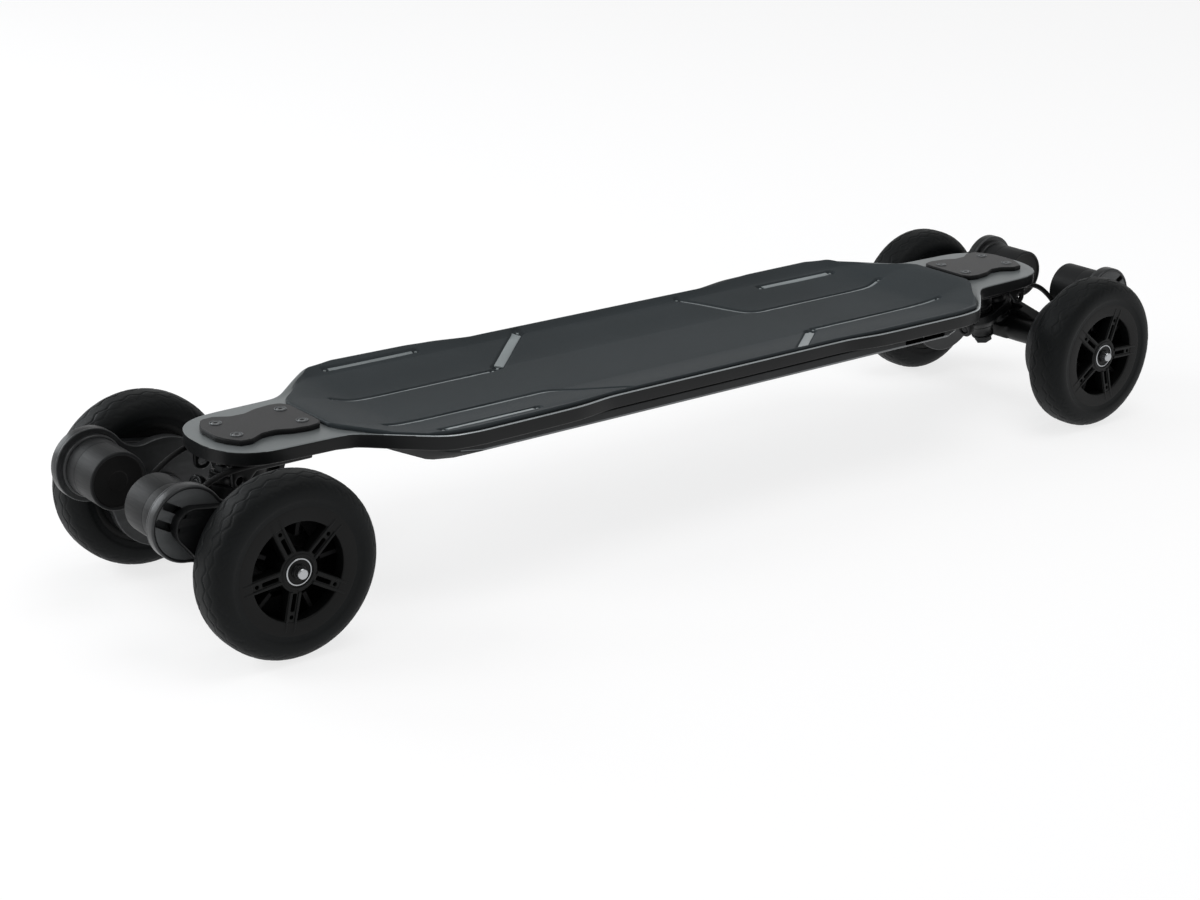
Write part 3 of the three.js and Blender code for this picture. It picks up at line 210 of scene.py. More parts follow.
# The darker black below is painted shade: on the cover plate's sides and on the drive housing's outer tier.
painted_shade_black = finish("painted_shade_black", "0d0e0f", 0.45, 0.1, 1400, 0.1, 18, 0.25, 0.2, 0.3, "303234")
can_grey = finish("can_grey", "1c1d1e", 0.5, 0.1, 900, 0.05, 16, 0.12, 0.2, 0.5, "484a4c", (1, 0.05, 1))
can_end = finish("can_end", "090909", 0.5, 0.1, 900, 0.05, 22, 0.25, 0.2)
screw_grey = finish("screw_grey", "5c5f61", 0.34, 0.7, 900, 0.04, 60, 0.15, 0.5, 0.3, "9a9c9e")
steel_bright = finish("steel_bright", "a9abad", 0.24, 1.0, 700, 0.03, 60, 0.08, stretch=(1, 0.08, 1))
steel_dark = finish("steel_dark", "3a3b3d", 0.3, 0.9, 900, 0.04, 60, 0.2, 0.5, 0.5, "a0a2a4")
rubber = finish("tyre_rubber_fine", "0b0e0f", 0.54, 0, 1700, 0.14, 30, 0.2, 0.15, 0.15, "1c1f20", spread=0.16)
nylon = finish("rim_nylon_fine", "0a0b0b", 0.42, 0, 2200, 0.12, 26, 0.2, 0.15, 0.25, "242729")
belt_black = finish("belt_black", "0d0d0e", 0.7, 0, 1500, 0.15, 40, 0.2, 0.2)
urethane = finish("urethane_fine", "161718", 0.42, 0, 900, 0.05, 40, 0.2, 0.3)
sleeve = finish("cable_sleeve_fine", "0c0c0d", 0.58, 0, 2600, 0.4, 60, 0.25, 0.2)
wrap_blue = finish("cell_wrap_fine", "2b5a88", 0.4, 0, 800, 0.08, 30, 0.15)


# Frames: a form's own axes, set on the board in millimetres
def frame_of(origin, first, second, third):
    m = Matrix((first, second, third)).transposed().to_4x4()
    m.translation = Vector(origin)
    return m


X, Y, Z = Vector((1, 0, 0)), Vector((0, 1, 0)), Vector((0, 0, 1))
HINGE = Vector((math.cos(LEAN), 0, math.sin(LEAN)))
KING = Vector((-math.sin(LEAN), 0, math.cos(LEAN)))
AXLE = Vector((AXLE_X, 0, WHEEL_R))


def truck_point(ahead, rise):
    return AXLE + HINGE * ahead + KING * rise


def upright(origin):
    """Local x ahead, y up and z to the left."""
    return frame_of(origin, X, Z, Y)


def round_king(ahead):
    return frame_of(truck_point(ahead, 0), HINGE, KING, Y)


def round_hinge(rise):
    return frame_of(truck_point(0, rise), KING, HINGE, Y)


def along(ahead):
    """Frame whose third axis runs up a kingpin."""
    return frame_of(truck_point(ahead, 0), HINGE, Y, KING)


FLANK, WHEEL_PLANE = upright((0, 0, 0)), upright(AXLE)
WHEEL_LINE = frame_of(AXLE, X, Y, Z)
MOTOR_LINE = frame_of((MOTOR_X, 0, MOTOR_Z), X, Y, Z)
INNER_LINE, OUTER_LINE = round_king(INNER_AHEAD), round_king(OUTER_AHEAD)
TRUCK_PLAN = frame_of(AXLE, HINGE, Y, KING)
TRUCK_CROSS = frame_of(AXLE, Y, KING, HINGE)


# Mesh helpers
def place(obj, slot, body, *nodes):
    """Sets the body a piece rides on and hides the nodes it stands for. The slot is not used."""
    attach(obj, body)
    if nodes:
        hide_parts(*nodes)
    return obj


def smoothed(mesh, degrees):
    mesh.shade_smooth()
    mesh.set_sharp_from_angle(angle=math.radians(degrees))


class Form:
    """Vertices, faces and material numbers of one piece, in millimetres."""

    def __init__(self):
        self.v, self.f, self.m = [], [], []

    def add(self, verts, faces, mat=0, where=None):
        start = len(self.v)
        if where is not None:
            verts = [where @ Vector(p) for p in verts]
            if where.to_3x3().determinant() < 0:
                faces = [tuple(reversed(face)) for face in faces]
        self.v.extend([tuple(p) for p in verts])
        self.f.extend([tuple(i + start for i in face) for face in faces])
        self.m.extend([mat] * len(faces) if isinstance(mat, int) else mat)
        return self

    def join(self, other, mat=None):
        return self.add(other.v, other.f, other.m if mat is None else mat)

    def turn(self, profile, seg, where, soft=0.0, mat=0, steps=3, closed=False):
        """Joins a turned body, with the corners of its profile rounded."""
        line = soft_profile(profile, soft, steps) if soft else profile
        return self.join(lathe(line, seg, where, closed), mat)

    def ring(self, *args, **more):
        """Joins a turned body with a hole along its axis."""
        return self.turn(*args, closed=True, **more)

    def slab(self, *args, **more):
        return self.join(plate(*args, **more))

    def mapped(self, change, flip=False):
        """The same faces over changed vertices."""
        out = Form()
        out.v = [change(*p) for p in self.v]
        out.f = [tuple(reversed(face)) for face in self.f] if flip else list(self.f)
        out.m = list(self.m)
        return out

    def mirrored(self, s, t):
        return self.mapped(lambda x, y, z: (x * s, y * t, z), s * t < 0)

    def piece(self, name, mats, smooth=40):
        mesh = bpy.data.meshes.new(name)
        mesh.from_pydata([(x * M, y * M, z * M) for x, y, z in self.v], [], self.f)
        for mat in mats:
            mesh.materials.append(mat)
        mesh.polygons.foreach_set("material_index", self.m)
        mesh.validate()
        mesh.update()
        if smooth:
            smoothed(mesh, smooth)
        obj = bpy.data.objects.new(name, mesh)
        scene.collection.objects.link(obj)
        return obj


def form_of(obj):
    """The mesh of a piece as a form."""
    faces = obj.data.polygons
    verts = [tuple(c / M for c in v.co) for v in obj.data.vertices]
    return Form().add(verts, [tuple(f.vertices) for f in faces], [f.material_index for f in faces])


def lathe(profile, seg, where, closed=False):
    """Turned body. The profile gives radius and height from the low end up the outside.

    Height runs along the local second axis. A closed profile may run either way.
    """
    if closed and area(profile) < 0:
        profile = profile[::-1]
    n = len(profile)
    verts, faces = [], []
    for i in range(seg):
        a = TAU * (i + 0.5) / seg
        verts += [(r * math.cos(a), h, r * math.sin(a)) for r, h in profile]
        j = (i + 1) % seg
        for k in range(n if closed else n - 1):
            nxt = (k + 1) % n
            quad = (i * n + k, i * n + nxt, j * n + nxt, j * n + k)
            if profile[k][0] < 1e-6:
                quad = quad[:3]
            elif profile[nxt][0] < 1e-6:
                quad = (*quad[:2], quad[3])
            faces.append(quad)
    return Form().add(verts, faces, 0, where)


def soft_profile(points, radius, steps=3):
    """Rounds the inner corners of an open line of points."""
    out = [points[0]]
    for a, b, c in zip(points, points[1:], points[2:]):
        ab, cb = math.dist(a, b), math.dist(c, b)
        r = min(radius, ab * 0.45, cb * 0.45)
        if r < 1e-4:
            out.append(b)
            continue
        p = (b[0] + (a[0] - b[0]) * r / ab, b[1] + (a[1] - b[1]) * r / ab)
        q = (b[0] + (c[0] - b[0]) * r / cb, b[1] + (c[1] - b[1]) * r / cb)
        for i in range(steps + 1):
            t = i / steps
            out.append(tuple((1 - t) ** 2 * p[k] + 2 * t * (1 - t) * b[k] + t * t * q[k] for k in (0, 1)))
    out.append(points[-1])
    return out


def soft_loop(points, radius, steps=4):
    """Rounds the corners of a closed outline."""
    line = [points[-1], *points, points[0], points[1]]
    return soft_profile(line, radius, steps)[1:-1][: len(points) * (steps + 1)]


def oblong(low, high, start, end):
    """Four corners between two values on the first axis and two on the second."""
    return [(low, start), (high, start), (high, end), (low, end)]


def raised(level, profile):
    """A profile with its heights given from a level."""
    return [(r, level + h) for r, h in profile]


def arc(cx, cy, r, a0, a1, n):
    turns = [a0 + (a1 - a0) * i / n for i in range(n + 1)]
    return [(cx + r * math.cos(a), cy + r * math.sin(a)) for a in turns]


def circle(cx, cy, r, n=48):
    return arc(cx, cy, r, 0, TAU, n)[:-1]


def area(loop):
    return 0.5 * sum(a[0] * b[1] - b[0] * a[1] for a, b in zip(loop, loop[1:] + loop[:1]))


def plate(loops, z0, z1, bevel=0.0, where=None, mat=0, res=2):
    """Straight plate with rounded edges, from an outline and the outlines of its holes."""
    curve = bpy.data.curves.new("plate", "CURVE")
    curve.dimensions = "2D"
    curve.fill_mode = "BOTH"
    for k, loop in enumerate(loops):
        if (area(loop) > 0) != (k == 0):
            loop = loop[::-1]
        spline = curve.splines.new("POLY")
        spline.points.add(len(loop) - 1)
        for p, (x, y) in zip(spline.points, loop):
            p.co = (x, y, 0, 1)
        spline.use_cyclic_u = True
    curve.extrude = (z1 - z0) / 2 - bevel
    curve.bevel_depth = bevel
    curve.bevel_resolution = res
    curve.offset = -bevel
    holder = bpy.data.objects.new("plate", curve)
    mesh = bpy.data.meshes.new_from_object(holder)
    verts = [(v.co.x, v.co.y, v.co.z + (z0 + z1) / 2) for v in mesh.vertices]
    faces = [tuple(p.vertices) for p in mesh.polygons]
    bpy.data.objects.remove(holder)
    bpy.data.curves.remove(curve)
    bpy.data.meshes.remove(mesh)
    return Form().add(verts, faces, mat, where)


def grid_faces(rows, cols, wrap_rows=False, wrap_cols=False):
    faces = []
    for i in range(rows if wrap_rows else rows - 1):
        for j in range(cols if wrap_cols else cols - 1):
            here, below, nxt = i * cols, (i + 1) % rows * cols, (j + 1) % cols
            faces.append((here + j, here + nxt, below + nxt, below + j))
    return faces


def lofted(rows):
    """Vertices and faces of a closed body through rings of points, with its two ends last."""
    cols = len(rows[0])
    faces = [f[::-1] for f in grid_faces(len(rows), cols, wrap_cols=True)]
    last = (len(rows) - 1) * cols
    ends = [tuple(range(cols)), tuple(range(last, last + cols))[::-1]]
    return [p for row in rows for p in row], faces + ends


def facing(verts, face):
    """Middle of a face and the upward part of its normal."""
    a, b, c, d = (np.array(verts[i]) for i in face)
    normal = np.cross(c - a, d - b)
    return (a + b + c + d) / 4, normal[2] / (np.linalg.norm(normal) + 1e-9)


def tangents(points):
    """Unit directions along a line of points."""
    run = np.gradient(points, axis=0)
    return run / np.linalg.norm(run, axis=1)[:, None]


def runs(points):
    """Length along a flat line of points, at each of them."""
    return np.concatenate([[0], np.cumsum(np.hypot(*np.diff(points, axis=0).T))])


def as_points(*axes):
    return [tuple(p) for p in np.stack(axes, -1).reshape(-1, 3)]


def with_modifiers(obj, *mods):
    """Adds modifiers and applies them to the piece's mesh."""
    for kind, settings in mods:
        mod = obj.modifiers.new(kind.lower(), kind)
        for key, value in settings.items():
            setattr(mod, key, value)
    bpy.context.view_layer.update()
    made = bpy.data.meshes.new_from_object(obj.evaluated_get(bpy.context.evaluated_depsgraph_get()))
    obj.modifiers.clear()
    old = obj.data
    obj.data = made
    bpy.data.meshes.remove(old)
    return obj


def cut_by(obj, cutters):
    mods = [("BOOLEAN", {"operation": "DIFFERENCE", "solver": "EXACT", "object": c}) for c in cutters]
    with_modifiers(obj, *mods)
    for c in cutters:
        bpy.data.objects.remove(c)
    return obj


# Deck, pad and enclosure
# Stations along the deck: share of its half length, half width, lip, sunk floor, sunk underside
DECK = [(0, 0.922, 0.86, 1, 1), (0.29, 0.922, 0.86, 1, 1), (0.365, 0.985, 0.97, 1, 1), (0.43, 0.995, 1, 1, 1),
        (0.594, 1, 1, 1, 1), (0.648, 0.966, 1, 0.95, 1), (0.704, 0.76, 0.95, 0.5, 0.55),
        (0.771, 0.492, 0.857, 0, 0), (0.9, 0.475, 0.857, 0, 0), (0.945, 0.452, 0.857, 0, 0),
        (0.972, 0.375, 0.857, 0, 0)]
# Places and half widths of the rounded nose
NOSE = [(440, 58.6), (456.3, 58), (470, 56.4), (479.1, 53.6), (487, 49.4), (492.8, 44.6), (498.2, 38),
        (502, 30.5), (505, 21.5), (506.5, 14), (507, 9)]
LIP_RADIUS = 1.6
WELL_HALF, SHOULDER, SHOULDER_RISE = 43.0, 96.0, 8.0
UNDER_HALF, FLAT_HALF = 93.0, 80.0
PAINTED_LIP_HIGHLIGHT_END, NECK_START = 372, 330


def softened(line, reach, sigma, mode="same"):
    kernel = np.exp(-0.5 * (np.arange(-reach, reach + 1) / sigma) ** 2)
    return np.convolve(line, kernel / kernel.sum(), mode=mode)


def smooth_table(xs, column):
    """The station table's column at the places xs in millimetres, softened along the board."""
    fine = np.arange(-600, 601, 1.0)
    key = np.array([row[0] for row in DECK]) * HALF_DECK
    line = softened(np.interp(np.abs(fine), key, [row[column] for row in DECK]), 30, 7.0)
    return np.interp(xs, fine, line)


def deck_half(xs):
    a = np.abs(xs)
    tip = np.interp(a, [p[0] for p in NOSE], [p[1] for p in NOSE])
    mix = np.clip((a - 425) / 30, 0, 1)
    return smooth_table(xs, 1) * HALF_WIDTH * (1 - mix) + tip * mix


def step(t):
    t = np.clip(t, 0, 1)
    return t * t * (3 - 2 * t)


def deck_heights(x):
    """Heights of the lip and the floor, how far the floor is sunk, and the height of the underside."""
    top = MIDDLE_TOP + (LIP_TOP - MIDDLE_TOP) * smooth_table(x, 2)
    sunk = smooth_table(x, 3)
    well = NOSE_TOP + (FLOOR_TOP - NOSE_TOP) * sunk
    foot = NECK_BOTTOM + (FLOOR_BOTTOM - NECK_BOTTOM) * smooth_table(x, 4)
    return top, well, sunk, foot


def deck_bands(half):
    """Half widths at which the flat middle ends, the side gets steeper and the lip begins."""
    edge = half - LIP_RADIUS
    return np.minimum(WELL_HALF, half * 0.55), np.minimum(SHOULDER, edge * 0.9), edge


def deck_surface(x, y):
    """Height of the deck's upper face at places in millimetres."""
    well_half, shoulder, edge = deck_bands(deck_half(x))
    top, well, sunk, _ = deck_heights(x)
    low = np.minimum(well, top)
    mid = np.minimum(well + SHOULDER_RISE * sunk, top)
    a = np.abs(y)
    t1 = (a - well_half) / np.maximum(shoulder - well_half, 1e-6)
    t2 = (a - shoulder) / np.maximum(edge - shoulder, 1e-6)
    slope = low + (mid - low) * (0.55 * np.clip(t1, 0, 1) + 0.45 * step(t1))
    return slope + (top - mid) * (0.5 * np.clip(t2, 0, 1) + 0.5 * step(t2))


def deck_shell():
    nose = np.array([436, 442, 448, 454, 460, 466, 471, 476, 480, 484, 487.5, 490.5, 493.2, 495.8, 498.2,
                     500.2, 502, 503.6, 505, 506, 506.6, 507])
    turns = np.linspace(0.25, math.pi / 2, 6)
    round_in = [(LIP_RADIUS * math.sin(a), LIP_RADIUS * (1 - math.cos(a))) for a in turns]
    rows = []
    for x in np.concatenate([-nose[::-1], np.linspace(-430, 430, 173), nose]):
        half = float(deck_half(x))
        well_half, shoulder, edge = deck_bands(half)
        ys = np.concatenate([np.linspace(0, well_half, 4)[:-1], np.linspace(well_half, shoulder, 9)[:-1],
                             np.linspace(shoulder, edge, 7)])
        top, _, _, foot = (float(v) for v in deck_heights(x))
        right = list(zip(ys, deck_surface(x, ys)))
        right += [(edge + out, top - drop) for out, drop in round_in]
        right += [(edge + out, NECK_BOTTOM + drop) for out, drop in round_in[::-1]]
        under, flat = min(UNDER_HALF, edge * 0.95), min(FLAT_HALF, half * 0.7)
        right += [(under, NECK_BOTTOM), ((under + flat) / 2, (NECK_BOTTOM + foot) / 2), (flat, foot)]
        right += [(flat / 2, foot), (0, foot)]
        rows.append([(x, y, z) for y, z in right + [(-y, z) for y, z in right[-2:0:-1]]])
    verts, faces = lofted(rows)
    mats = []
    for face in faces[:-2]:
        (x, y, _), up = facing(verts, face)
        # Upward faces at the rounded lip take the bright strip, a painted highlight along the edge.
        if up > 0.5 and abs(y) > deck_half(x) - 1.75 and abs(x) < PAINTED_LIP_HIGHLIGHT_END:
            mats.append(2)
        else:
            # Upward faces of the neck take the grey satin copy, a painted reflection; the rest keep the
            # deck's own black.
            mats.append(0 if up > 0.6 and abs(x) > NECK_START else 1)
    form = Form().add(verts, faces, mats + [1, 1])
    place(form.piece("deck_shell", [deck_top_painted_reflection, deck_side, lip_painted_highlight], 50), "satin_shell", "board", "deck")


deck_shell()

PAD_END, PAD_BOTTOM, PAD_THICK, PAD_ROUND = 397.0, 0.3, 4.0, 2.4
# Share of the pad's half length and of the deck's half width
PAD = [(0, 0.881), (0.385, 0.881), (0.479, 0.93), (0.549, 0.948), (0.759, 0.957), (0.831, 0.91),
       (0.894, 0.725), (0.937, 0.545), (0.985, 0.38), (1, 0.28)]
# Lines on the pad, in shares of the deck's half length and half width
CHANNELS = [[(0.68, -0.36), (0.64, -0.32), (0.335, -0.32)],
            [(0.68, 0.36), (0.64, 0.32), (0.315, 0.32), (0.21, 0.81)], [(0.42, -0.86), (0.62, -0.86)]]
BARS = [([(0.318, -0.36), (0.19, -0.82)], 9.0), ([(0.42, 0.72), (0.62, 0.72)], 6.5)]
# Each groove: its line, width and depth, and the width and material of the strip on its floor
GROOVES = [(c, 5.4, 1.9, 3.3, 0) for c in CHANNELS] + [(b, w + 1.6, 1.6, w, 1) for b, w in BARS]


def pad_half(xs):
    key = np.array([p[0] for p in PAD]) * PAD_END
    fine = np.arange(0, 400, 0.5)
    sharp = np.interp(fine, key, np.array([p[1] for p in PAD]) * HALF_WIDTH)
    wide = np.concatenate([sharp[20:0:-1], sharp, np.full(20, sharp[-1])])
    return np.interp(np.abs(xs), fine, np.where(fine > 388, sharp, softened(wide, 20, 5.0, "valid")))


def distance_to(line, x, y):
    best = np.full(x.shape, 1e9)
    for (x0, y0), (x1, y1) in zip(line, line[1:]):
        dx, dy = x1 - x0, y1 - y0
        t = np.clip(((x - x0) * dx + (y - y0) * dy) / (dx * dx + dy * dy + 1e-9), 0, 1)
        best = np.minimum(best, np.hypot(x - x0 - t * dx, y - y0 - t * dy))
    return best


def groove_lines():
    """Every groove in millimetres, on both halves of the pad, with its sizes."""
    for shares, *sizes in GROOVES:
        for turn in (1, -1):
            line = [(x * HALF_DECK * turn, y * HALF_WIDTH * turn) for x, y in shares]
            yield soft_profile(line, 14, 6) if len(line) > 2 else line, *sizes


def grip_pad():
    close = 4
    xs = np.concatenate([np.linspace(-PAD_END, close - PAD_END, 7)[:-1],
                         np.linspace(close - PAD_END, PAD_END - close, 494),
                         np.linspace(PAD_END - close, PAD_END, 7)[1:]])
    rim = np.array([0.978, 0.984, 0.99, 0.995, 0.9985, 1.0])
    ts = np.concatenate([-rim[::-1], np.linspace(-0.97, 0.97, 218), rim])
    half = pad_half(xs)[:, None]
    gx = np.repeat(xs[:, None], len(ts), axis=1)
    gy = half * ts
    ground = deck_surface(gx, gy)
    inward = np.clip(np.minimum(half * (1 - np.abs(ts)), PAD_END - np.abs(gx)), 0, PAD_ROUND)
    drop = PAD_ROUND - np.sqrt(np.maximum(PAD_ROUND ** 2 - (PAD_ROUND - inward) ** 2, 0))
    depth = np.zeros_like(gx)
    for line, width, deep, _, _ in groove_lines():
        reach = np.clip((width / 2 + 0.4 - distance_to(line, gx, gy)) / 0.8, 0, 1)
        depth = np.maximum(depth, deep * reach)
        for ex, ey in (line[0], line[-1]):
            reach = np.clip((width / 2 + 0.9 - np.hypot(gx - ex, gy - ey)) / 0.8, 0, 1)
            depth = np.maximum(depth, 2.6 * reach)
    rows, cols = gx.shape
    verts = as_points(gx, gy, ground + PAD_BOTTOM + PAD_THICK - drop - depth)
    low = len(verts)
    verts += as_points(gx, gy, ground + PAD_BOTTOM)
    grid = grid_faces(rows, cols)
    faces = [f[::-1] for f in grid] + [tuple(i + low for i in f) for f in grid]
    border = [i * cols for i in range(rows)] + [(rows - 1) * cols + j for j in range(1, cols)]
    border += [i * cols + cols - 1 for i in range(rows - 2, -1, -1)] + list(range(cols - 2, 0, -1))
    faces += [(a + low, b + low, b, a) for a, b in zip(border, border[1:] + border[:1])]
    pad = place(Form().add(verts, faces).piece("foam_pad", [foam_skin], 60), "foam", "board", "grip_pad")


grip_pad()


def along_line(line, step_mm, trim):
    """Evenly spaced places on a line of points, with its ends cut back."""
    pts = np.array(line, float)
    run = runs(pts)
    where = np.linspace(trim, run[-1] - trim, max(8, int(run[-1] / step_mm)))
    return np.stack([np.interp(where, run, pts[:, 0]), np.interp(where, run, pts[:, 1])], 1)


def pad_lines():
    """Light strips on the floors of the pad's grooves, with a small pip past each end. On the channels the
    strips are a painted highlight of the shiny groove floors.
    """
    section = [(-0.5, -0.5), (-0.5, 0.7), (-0.4, 0.95), (-0.2, 1.06)]
    section += [(-across, rise) for across, rise in section[::-1]]
    form = Form()
    for line, _, deep, width, mat in groove_lines():
        pts = along_line(line, 2.0, 4.2)
        rows = []
        for p, (tx, ty) in zip(pts, tangents(pts)):
            ring = [(*(p + np.array([-ty, tx]) * across * width), rise) for across, rise in section]
            lift = PAD_BOTTOM + PAD_THICK - deep - 0.1
            rows.append([(x, y, float(deck_surface(x, y)) + lift + rise) for x, y, rise in ring])
        form.add(*lofted(rows), mat)
        for x, y in (line[0], line[-1]):
            pip = raised(float(deck_surface(x, y)), [(0, 1.4), (1.5, 1.4), (1.5, 2.7), (1.1, 3.1), (0, 3.2)])
            form.turn(pip, 20, upright((x, y, 0)), mat=mat)
    place(form.piece("foam_pad_lines", [foam_line_painted_highlight, foam_bar]), "foam", "board")


pad_lines()

HULL_HALF, HULL_WIDE, HULL_LOW_WIDE = 362.0, 112.0, 66.0
HULL_SIDE, HULL_BOTTOM = 130.0, 110.0
# Share of the hull's half length, of its width and of its depth
HULL = [(0, 1, 1), (0.8, 1, 1), (0.86, 0.92, 0.97), (0.93, 0.7, 0.65), (1, 0.48, 0.3)]
PORT_FRONT, PORT_BACK, PORT_Z, PORT_FACE = 284.0, 228.0, 134.6, -104.0
BUTTON_X, SOCKET_X = 259.0, 242.0


def hull_shell():
    near_end = np.array([1.0, 2.5, 5.0])
    xs = [np.linspace(-HULL_HALF, HULL_HALF, 121), near_end - HULL_HALF, HULL_HALF - near_end]
    key = np.array([h[0] for h in HULL]) * HULL_HALF
    rows, sides = [], []
    for x in np.unique(np.concatenate(xs)):
        width = float(np.interp(abs(x), key, [h[1] for h in HULL]))
        drop = float(np.interp(abs(x), key, [h[2] for h in HULL]))
        tuck = 3.0 * max(0.0, 1 - (HULL_HALF - abs(x)) / 3.0) ** 2
        half = HULL_WIDE * width - tuck
        low = HULL_LOW_WIDE * width - tuck
        bottom = NECK_BOTTOM + (HULL_BOTTOM - NECK_BOTTOM) * drop + tuck
        side = NECK_BOTTOM + (HULL_SIDE - NECK_BOTTOM) * max(drop, 0.4) + tuck * 0.2
        side = max(side, bottom + 1)
        foot = float(deck_heights(x)[3]) - 0.3
        top = NECK_BOTTOM - 0.3
        outer, inner = min(UNDER_HALF, half * 0.95), min(FLAT_HALF, half * 0.7)
        right = [(inner * 0.5, min(foot, bottom + 25)), (inner, foot), (outer, top), (half, top)]
        right += [(half, side), (low, bottom), (low * 0.3, bottom)]
        right = soft_profile(right, 1.8)
        rows.append([(x, y, z) for y, z in right + [(-y, z) for y, z in right[::-1]]])
        sides.append(side)
    verts, faces = lofted(rows)
    mats = []
    for face in faces[:-2]:
        (_, y, z), up = facing(verts, face)
        row = face[0] // len(rows[0])
        half = max(p[1] for p in rows[row])
        # Faces along the lower side edge take a bright grey, a painted highlight along that edge.
        on_edge = abs(abs(y) - half) < 1.6 and abs(z - sides[row]) < 1.3
        # Upright faces take a lighter copy of the shell's black, painted light; the rest keep the shell's own
        # black.
        mats.append(1 if on_edge else 3 if abs(up) < 0.3 else 0)
    form = Form().add(verts, faces, mats + [0, 0])
    hull = form.piece("battery_case", [shell_black, shell_painted_highlight, painted_shade_hollow_black, shell_side_painted_light], 35)
    port = soft_loop(oblong(PORT_BACK, PORT_FRONT, PORT_Z - 3.2, PORT_Z + 3.2), 2.0)
    socket = soft_loop(oblong(SOCKET_X - 9, SOCKET_X + 9, PORT_Z - 2.3, PORT_Z + 2.3), 1.6)
    tools = [("port_tool", port, -118, PORT_FACE), ("socket_tool", socket, PORT_FACE - 2, PORT_FACE + 6)]
    cut_by(hull, [plate([loop], low, high, where=FLANK).piece(name, [painted_shade_hollow_black], 0)
                  for name, loop, low, high in tools])
    smoothed(hull.data, 35)
    place(hull, "black_shell", "board", "enclosure")


hull_shell()


def power_button():
    where = frame_of((BUTTON_X, 0, PORT_Z), X, Y, Z)
    face = PORT_FACE - 2.4
    form = Form().turn(raised(face, [(0, 0), (2.4, 0), (2.9, 0.7), (2.9, 7), (0, 7)]), 32, where, 0.4)
    form.turn(raised(face, [(1.1, -0.02), (1.5, -0.12), (1.9, -0.02)]), 32, where, mat=1)
    cap = form.piece("power_button_cap", [plate_black, steel_bright])
    place(cap, "black_plate", "button", "power_button")
    trim = Form().turn(raised(PORT_FACE, [(3.2, 0.2), (3.2, -0.5), (4.0, -0.5), (4.2, 0.2)]), 32, where, 0.2)
    pin = oblong(0, 0.9, PORT_FACE + 1, PORT_FACE + 5.8)
    trim.turn(pin, 16, frame_of((SOCKET_X, 0, PORT_Z), X, Y, Z))
    place(trim.piece("port_trim", [steel_dark]), "black_plate", "board")


power_button()


# Truck and wheel pieces are drawn for the front left and mirrored
WHEEL_TURN = {("rear", "right"): -12, ("front", "right"): 16, ("rear", "left"): 25, ("front", "left"): -31}


def both_trucks(form, name, mats, node, body, slot, smooth=40):
    for end, s in ENDS:
        obj = form.mirrored(s, 1).piece(f"{end}_{name}", mats, smooth)
        place(obj, slot, body.replace("END", end), f"{end}_{node}")


def turned(form, degrees):
    """The form turned about the axle."""
    c, k = math.cos(math.radians(degrees)), math.sin(math.radians(degrees))

    def spin(x, y, z):
        dx, dz = x - AXLE_X, z - WHEEL_R
        return AXLE_X + dx * c - dz * k, y, WHEEL_R + dx * k + dz * c
    return form.mapped(spin)


def all_corners(form, name, mats, node, body, slot, smooth=40, spun=False):
    for end, s in ENDS:
        for side, t in SIDES:
            start = turned(form, s * WHEEL_TURN[end, side]) if spun else form
            obj = start.mirrored(s, t).piece(f"{name}_{end}_{side}", mats, smooth)
            place(obj, slot, body.replace("END", end).replace("SIDE", side), f"{node}_{end}_{side}")


# Share of the cover plate's length and of its half width
COVER = [(0, 0.72), (0.05, 0.92), (0.15, 0.97), (0.33, 0.9), (0.47, 0.74), (0.62, 0.76), (0.76, 0.98),
         (0.88, 0.95), (0.96, 0.62), (1, 0.34)]
COVER_BACK, COVER_LONG, COVER_HALF = 400, 94, 36


def cover_outline(inset=0.0):
    right = [(COVER_BACK + inset + (COVER_LONG - 2 * inset) * a, (COVER_HALF - inset) * w) for a, w in COVER]
    return soft_loop(right + [(x, -y) for x, y in right[::-1]], 2.2)


def cover_plates():
    foot = NOSE_TOP + 0.3
    # The plate's sides are in a darker copy of its black, painted shade; the thinner plate on top keeps the
    # plain black.
    form = plate([cover_outline()], foot, foot + 4.2, 0.7, mat=2)
    form.slab([cover_outline(0.9)], foot + 3.8, foot + 4.7, 0.3)
    ring = raised(foot, [(5.6, 4.6), (5.6, 5.3), (4.7, 5.3), (4.5, 4.4)])
    head = raised(foot + 5.2, [(4.2, -1.5), (4.2, -0.5), (3.7, 0), (1.9, -0.1), (1.7, -1.6), (0, -1.6)])
    for x in (413, 477):
        for y in (-18, 18):
            form.turn(ring, 28, upright((x, y, 0)), 0.25, 1)
            form.turn(head, 24, upright((x, y, 0)), mat=1)
    both_trucks(form, "cover", [plate_black, screw_grey, painted_shade_black], "cover_plate", "board", "black_plate")


cover_plates()


def casting(form, name, body, voxel):
    """The front casting is melted into one skin, and the rear one is its mirror image."""
    front = form.piece(f"front_{name}_casting", [cast_black], 0)
    with_modifiers(front, ("REMESH", {"mode": "VOXEL", "voxel_size": voxel, "use_smooth_shade": True}),
                   ("SMOOTH", {"factor": 0.5, "iterations": 5}), ("DECIMATE", {"ratio": 0.45}))
    smoothed(front.data, 48)
    rear = form_of(front).mirrored(-1, 1).piece(f"rear_{name}_casting", [cast_black], 48)
    front.data.materials.clear()
    front.data.materials.append(cast_black)
    for end, obj in (("front", front), ("rear", rear)):
        place(obj, "black_aluminium", body.replace("END", end), f"{end}_{name}")


